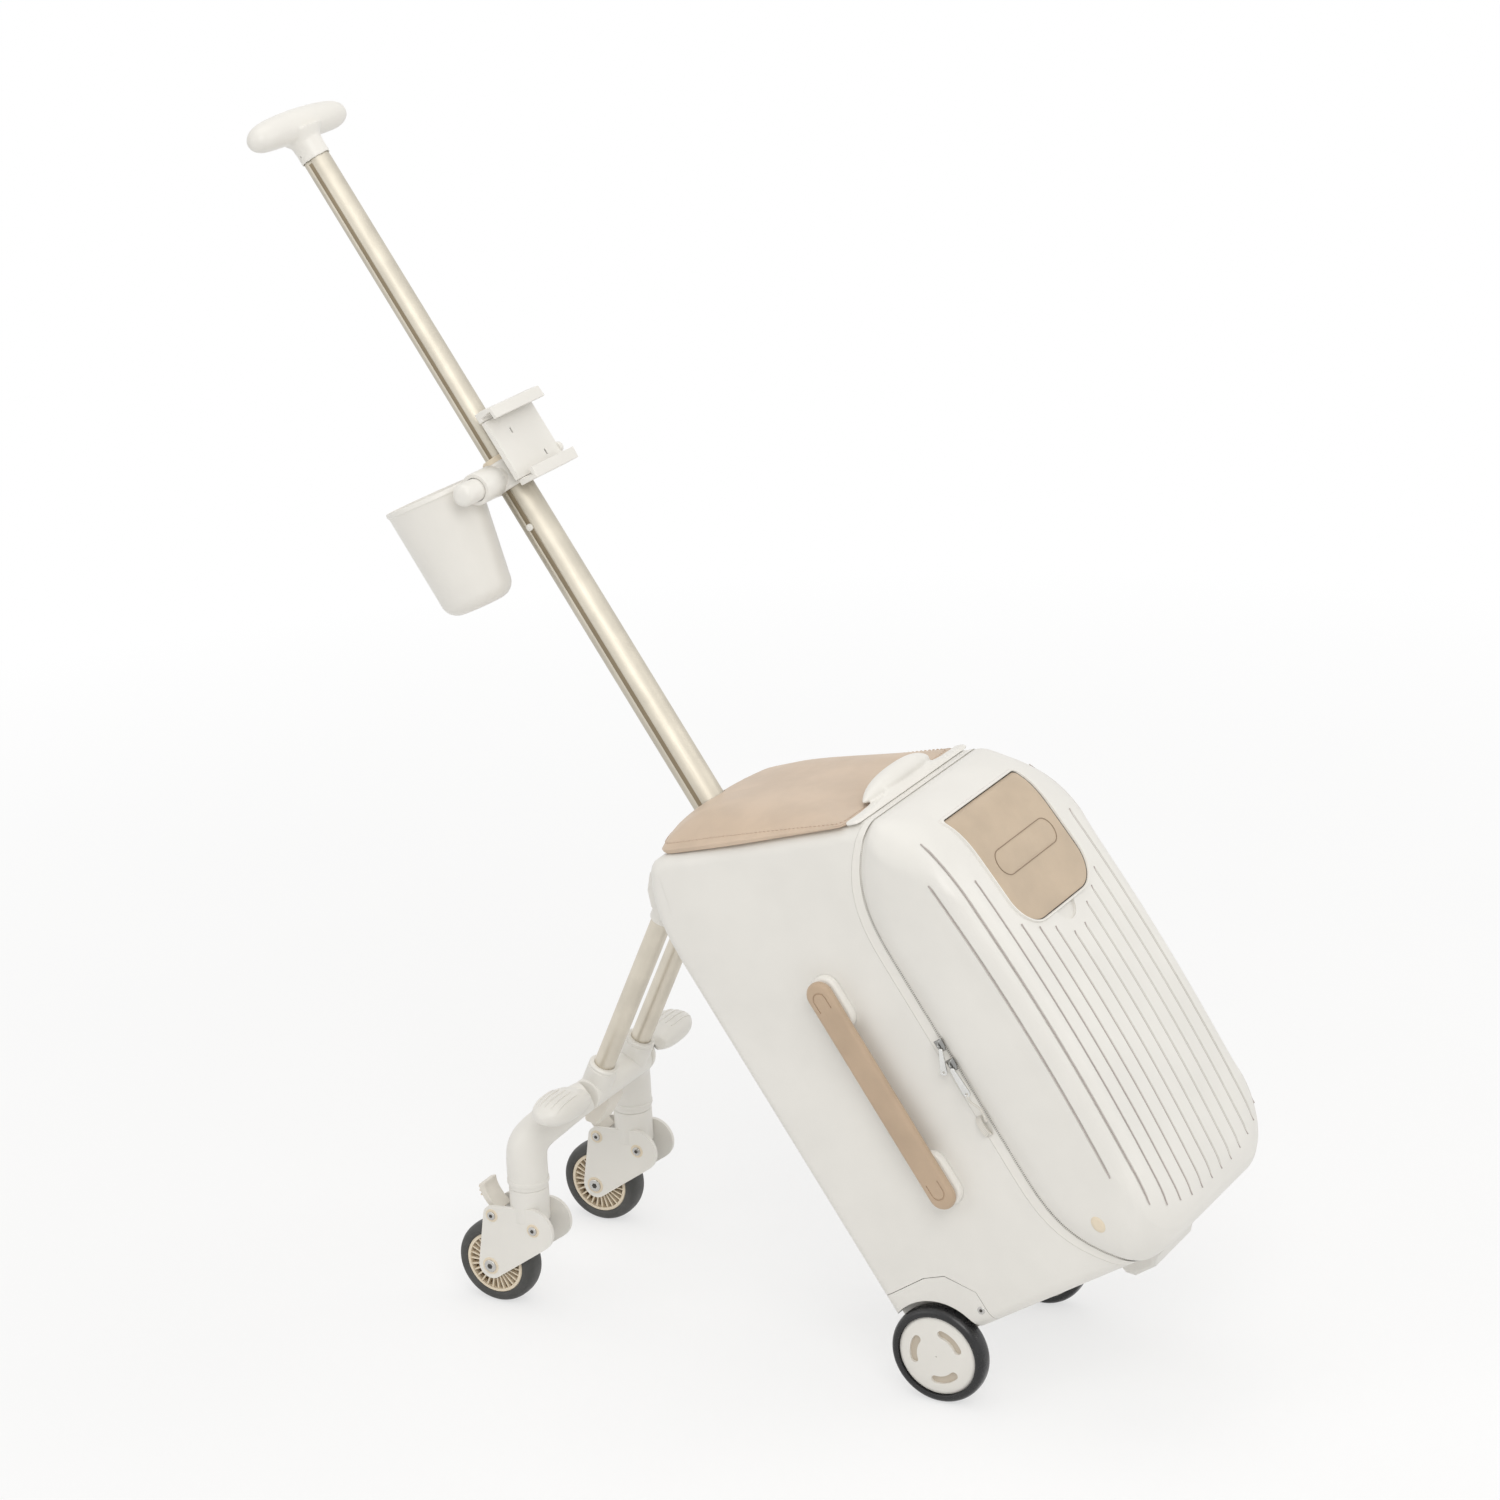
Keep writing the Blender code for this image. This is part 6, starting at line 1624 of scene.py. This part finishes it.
def make_brake(side, at):
    curve = smooth_path(BRAKE_CURVE, 5)
    dy = 0.0030
    dz = dy * 0.4
    outline = [(y + dy, z - dz) for y, z in curve] + [(y - dy, z + dz) for y, z in reversed(curve)]
    lever = prism_x(outline, -BRAKE_HALF_W, BRAKE_HALF_W)
    body = "brake_" + side
    piece("brake_skin_" + side, lever, at, WARM_WHITE, body, ["brake_lever_" + side], 40, 0.0016)
    ribs = [sweep([(-0.0080, y, z), (0, y, z), (0.0080, y, z)], RIB_R, 8) for y, z in BRAKE_RIBS]
    piece("brake_ribs_" + side, merge(*ribs), at, CREAM, body)


def tread(r, edge, half, power, steps):
    # Round outer part of a tyre's profile, from its -half side to its half side.
    points = []
    for k in range(steps + 1):
        a = math.pi * (-0.5 + k / steps)
        across = math.copysign(abs(math.sin(a)) ** power, math.sin(a))
        points.append((r - edge + edge * math.cos(a), half * across))
    return points


def make_caster_wheel(side, at):
    body = "caster_" + side
    half = CASTER_W / 2
    rim = CASTER_HUB_R
    bead = [(rim + 0.0002, half - 0.0014), (rim + 0.0016, half - 0.0004), (rim + 0.0040, half)]
    tyre = [(r, -x) for r, x in bead] + tread(CASTER_R, 0.0055, half - 0.0002, 0.8, 12) + bead[::-1]
    form = spun(tyre, 96, "x", closed=True)
    piece("caster_tyre_skin_" + side, form, at, CASTER_TYRE, body, ["caster_tyre_" + side], 40)
    edge = half - 0.0012
    floor = 0.0045
    plate = [(AXLE_BORE, -floor), (rim - 0.001, -floor), (rim - 0.001, floor), (AXLE_BORE, floor)]
    # The recessed disc between the ribs takes the dark brown of painted shade.
    piece("caster_disc_" + side, spun(plate, 64, "x", closed=True), at, HUB_WEB_SHADE, body, smooth=40)
    ring = [(rim, edge - 0.0006), (rim - 0.0006, edge), (rim - 0.0030, edge)]
    boss = [(0.0100, edge - 0.0008), (0.0090, edge + 0.0002), (AXLE_BORE, edge + 0.0002)]
    parts = []
    for profile, count in ((ring, 96), (boss, 64)):
        parts.append(spun([(r, -x) for r, x in profile[::-1]] + profile, count, "x", closed=True))
    for k in range(HUB_RIBS):
        for sign in (-1, 1):
            low, high = sorted((sign * (floor - 0.0005), sign * (edge - 0.0010)))
            rib = box(low, high, 0.0095, rim - 0.0026, -0.00075, 0.00075)
            rib.transform(turn_x(2 * math.pi * k / HUB_RIBS))
            parts.append(rib)
    piece("caster_hub_skin_" + side, merge(*parts), at, CREAM, body, ["caster_hub_" + side], 40)


def arc_slot(centre):
    # Slot with round ends, bent round the wheel's axis; the angle is in degrees.
    half = SLOT_SWEEP / 2
    r = SLOT_WIDTH / 2
    caps = []
    for end, start in ((centre + half, 0), (centre - half, 180)):
        a = math.radians(end)
        y, z = SLOT_RADIUS * math.cos(a), SLOT_RADIUS * math.sin(a)
        caps.append(arc(y, z, r, end + start, 180, 12)[1:-1])
    outer = arc(0, 0, SLOT_RADIUS + r, centre - half, SLOT_SWEEP, 14)
    inner = arc(0, 0, SLOT_RADIUS - r, centre + half, -SLOT_SWEEP, 14)
    return outer + caps[0] + inner + caps[1]


def make_fixed_wheel(side, sign):
    half = WHEEL_W / 2
    at = CASE @ move(sign * (WHEEL_OUT - half), 0, 0)
    body = "wheel_" + side
    rim = WHEEL_CAP_R
    bead = [(rim + 0.0002, half - 0.0006), (rim + 0.0014, half)]
    tyre = [(r, -x) for r, x in bead] + tread(WHEEL_R, 0.0052, half - 0.0001, 0.75, 16) + bead[::-1]
    form = spun(tyre, 112, "x", closed=True)
    piece("wheel_tyre_skin_" + side, form, at, WHEEL_TYRE, body, ["wheel_tyre_" + side], 40)
    face = half - 0.0004
    back = -half + 0.0008
    deep = -half + 0.004
    hub = [(HUB_BORE, face - 0.0012), (0.0006, face - 0.0012), (0.0006, face + 0.0002)]
    hub += [(0.0090, face + 0.0001), (0.0160, face), (rim - 0.0040, face - 0.0008)]
    hub += [(rim - 0.0012, face - 0.0018), (rim, face - 0.0032), (rim, back), (rim - 0.004, back)]
    hub += [(rim - 0.004, deep), (0.011, deep), (0.011, back), (HUB_BORE, back)]
    form = facing(spun(hub, 96, "x", closed=True), sign)
    wheel = piece("wheel_hub_skin_" + side, form, at, TRIM, body, ["wheel_hub_" + side], 40)
    for k in range(3):
        slot = arc_slot(SLOT_START + 120 * k)
        carve(wheel, prism_x(slot, *sorted((sign * (face - 0.0036), sign * (face + 0.002)))), at)
        # Inlaid slot floors, darker than the cream, paint the shade inside the slots.
        inlay = prism_x(slot, *sorted((sign * (face - 0.0038), sign * (face - 0.0030))))
        piece("hub_slot_%s_%d" % (side, k + 1), inlay, at, SLOT_FLOOR_SHADE, body)
    soften(wheel, WHEEL_EDGE, 3, 50, harden=False)


def make_housing(side, sign):
    name = "wheel_housing_" + side
    housing = piece("housing_skin_" + side, corner_block(sign, 0), CASE, SHELL, "case", [name], 40)
    carve(housing, body_block(0), CASE, "INTERSECT")
    wheel_in = WHEEL_OUT - WHEEL_W
    x0, x1 = sorted((sign * (wheel_in - 0.004), sign * (CASE_HALF_W + 0.02)))
    arch = WHEEL_R + ARCH_GAP
    carve(housing, spun([(arch, x0), (arch, x1)], 96, "x"), CASE)
    x0, x1 = sorted((sign * HOUSING_IN, sign * (wheel_in - 0.0012)))
    boss = spun(disc(0.013, x0, x1, 0.0012), 48, "x")
    piece("wheel_boss_" + side, boss, CASE, SHELL, "case", smooth=40)
    spot = CASE @ move(sign * (CASE_HALF_W - 0.0005), *CORNER_SCREW)
    screw = facing(spun(disc(0.0036, 0, 0.0010, 0.0005), 36, "x"), sign)
    piece("corner_screw_" + side, screw, spot, STEEL, "case")
    # The dark socket disc paints the shade inside the screw's socket.
    socket = facing(spun([(0.0016, 0.0006), (0.0016, 0.0013)], 6, "x"), sign)
    piece("corner_socket_" + side, socket, spot, GAP_SHADE, "case")


def make_foot():
    outline = [
        (-FOOT_DEPTH0, bottom_z(FOOT_DEPTH0) - GAP),
        (-FOOT_DEPTH0 - 0.003, -FOOT_H + 0.006),
        (-FOOT_DEPTH0 - 0.010, -FOOT_H),
        (-FOOT_DEPTH1 + 0.008, -FOOT_H),
        (-FOOT_DEPTH1 + 0.001, -FOOT_H + 0.007),
        (-FOOT_DEPTH1, bottom_z(FOOT_DEPTH1) - GAP),
    ]
    form = prism_x(outline, -FOOT_HALF_W, FOOT_HALF_W)
    piece("foot_skin", form, CASE, SHELL, "case", ["front_foot"], 40, FOOT_EDGE, 4, 50)


# Finish of the solids that keep their own shape
SOLID_LOOKS = {
    "pocket_tray": TRIM,
    "pole_guide": LINER,
    "pole_cover": LINER,
    "push_rod": STEEL,
    "leg_pin": STEEL,
    "wheel_axle_right": STEEL,
    "wheel_axle_left": STEEL,
    "caster_axle_right": STEEL,
    "caster_axle_left": STEEL,
}


def dress_solids():
    for name, mat in SOLID_LOOKS.items():
        solid = bpy.data.objects.get(name)
        if solid:
            for slot in solid.material_slots:
                slot.material = mat


# Stage and camera


def seen_rays(tree):
    # 1 for rays that show the backdrop itself, 0 for those that light the object.
    path = tree.nodes.new("ShaderNodeLightPath").outputs
    inputs = {0: path["Is Camera Ray"], 1: path["Is Glossy Ray"]}
    first = add_node(tree, "ShaderNodeMath", inputs, operation="MAXIMUM").outputs[0]
    inputs = {0: first, 1: path["Is Transmission Ray"]}
    return add_node(tree, "ShaderNodeMath", inputs, operation="MAXIMUM").outputs[0]


def floor_look():
    # Pale floor whose seen side fades to the white of the backdrop away from the object.
    look = Look("floor_pale", (0.92, 0.92, 0.92), 0.9)
    look.mottle(look.noise(3.0, 2.0), 0.99, 1.01)
    tree = look.tree
    far = add_node(tree, "ShaderNodeVectorMath", {0: look.coords}, operation="LENGTH").outputs["Value"]
    inputs = {"Value": far, "From Min": 0.5, "From Max": 2.2, "To Min": 0.62, "To Max": 1.0}
    fade = add_node(tree, "ShaderNodeMapRange", inputs).outputs["Result"]
    share = add_node(tree, "ShaderNodeMath", {0: fade, 1: seen_rays(tree)}, operation="MULTIPLY").outputs[0]
    glow = add_node(tree, "ShaderNodeEmission", {"Strength": 1.0}).outputs["Emission"]
    inputs = {"Fac": share, 1: look.shader.outputs["BSDF"], 2: glow}
    mix = add_node(tree, "ShaderNodeMixShader", inputs).outputs["Shader"]
    tree.links.new(mix, tree.nodes["Material Output"].inputs["Surface"])
    return look.mat


def make_stage():
    scene = bpy.context.scene
    world = bpy.data.worlds.new("studio")
    scene.world = world
    world.use_nodes = True
    tree = world.node_tree
    mix = tree.nodes.new("ShaderNodeMix")
    mix.data_type = "RGBA"
    colours = [socket for socket in mix.inputs if socket.type == "RGBA"]
    colours[0].default_value = (0.535, 0.53, 0.52, 1.0)
    colours[1].default_value = (1.0, 1.0, 1.0, 1.0)
    tree.links.new(seen_rays(tree), mix.inputs[0])
    results = [socket for socket in mix.outputs if socket.type == "RGBA"]
    tree.links.new(results[0], tree.nodes["Background"].inputs["Color"])
    mesh = bpy.data.meshes.new("floor")
    corners = [(-1, -1), (1, -1), (1, 1), (-1, 1)]
    mesh.from_pydata([(x * FLOOR_HALF, y * FLOOR_HALF, 0) for x, y in corners], [], [(0, 1, 2, 3)])
    mesh.materials.append(floor_look())
    floor = add_object("floor", mesh)
    for name, place, power, size in (
        ("key", (-1.9, -1.6, 2.6), 36.0, 1.8),
        ("fill", (-2.4, 2.0, 1.6), 12.0, 2.2),
        ("front", (1.6, -2.6, 1.8), 15.0, 1.8),
        ("top", (0.2, 0.2, 3.2), 20.0, 2.4),
    ):
        lamp = bpy.data.lights.new(name, "AREA")
        lamp.energy = power
        lamp.size = size
        lamp.color = (1.0, 0.99, 0.97)
        made = add_object(name, lamp)
        made.location = place
        aim = Vector((0, -0.05, 0.45)) - Vector(place)
        made.rotation_euler = aim.to_track_quat("-Z", "Y").to_euler()
    scene.view_settings.view_transform = "Standard"


def make_camera():
    level = Vector((math.sin(CAM_TURN), -math.cos(CAM_TURN), 0))
    ahead = Vector((math.cos(CAM_TURN), math.sin(CAM_TURN), 0))
    back = -math.cos(CAM_UP_ANGLE) * ahead + Vector((0, 0, math.sin(CAM_UP_ANGLE)))
    upright = back.cross(level)
    right = level * math.cos(CAM_ROLL) + upright * math.sin(CAM_ROLL)
    up = upright * math.cos(CAM_ROLL) - level * math.sin(CAM_ROLL)
    data = bpy.data.cameras.new("camera")
    data.lens = CAM_LENS
    data.sensor_width = 36.0
    data.shift_x, data.shift_y = CAM_SHIFT
    data.clip_end = 50.0
    camera = add_object("camera", data)
    turned = Matrix((right, up, back)).transposed().to_4x4()
    camera.matrix_world = Matrix.Translation(CAM_LOOK + back * CAM_DISTANCE) @ turned
    bpy.context.scene.camera = camera


make_camera()
make_stage()
dress_solids()
make_case()
make_zip()
lid_tree = make_lid()
make_flap(lid_tree)
make_seat()
make_grab_bar()
make_side_grip()
make_sliders()
make_pole()
make_handle()
make_clamp()
make_cup()
make_phone_holder()
make_leg()
for side, sign in SIDES:
    make_caster(side, sign)
    make_fixed_wheel(side, sign)
    make_housing(side, sign)
make_foot()

bpy.context.view_layer.update()
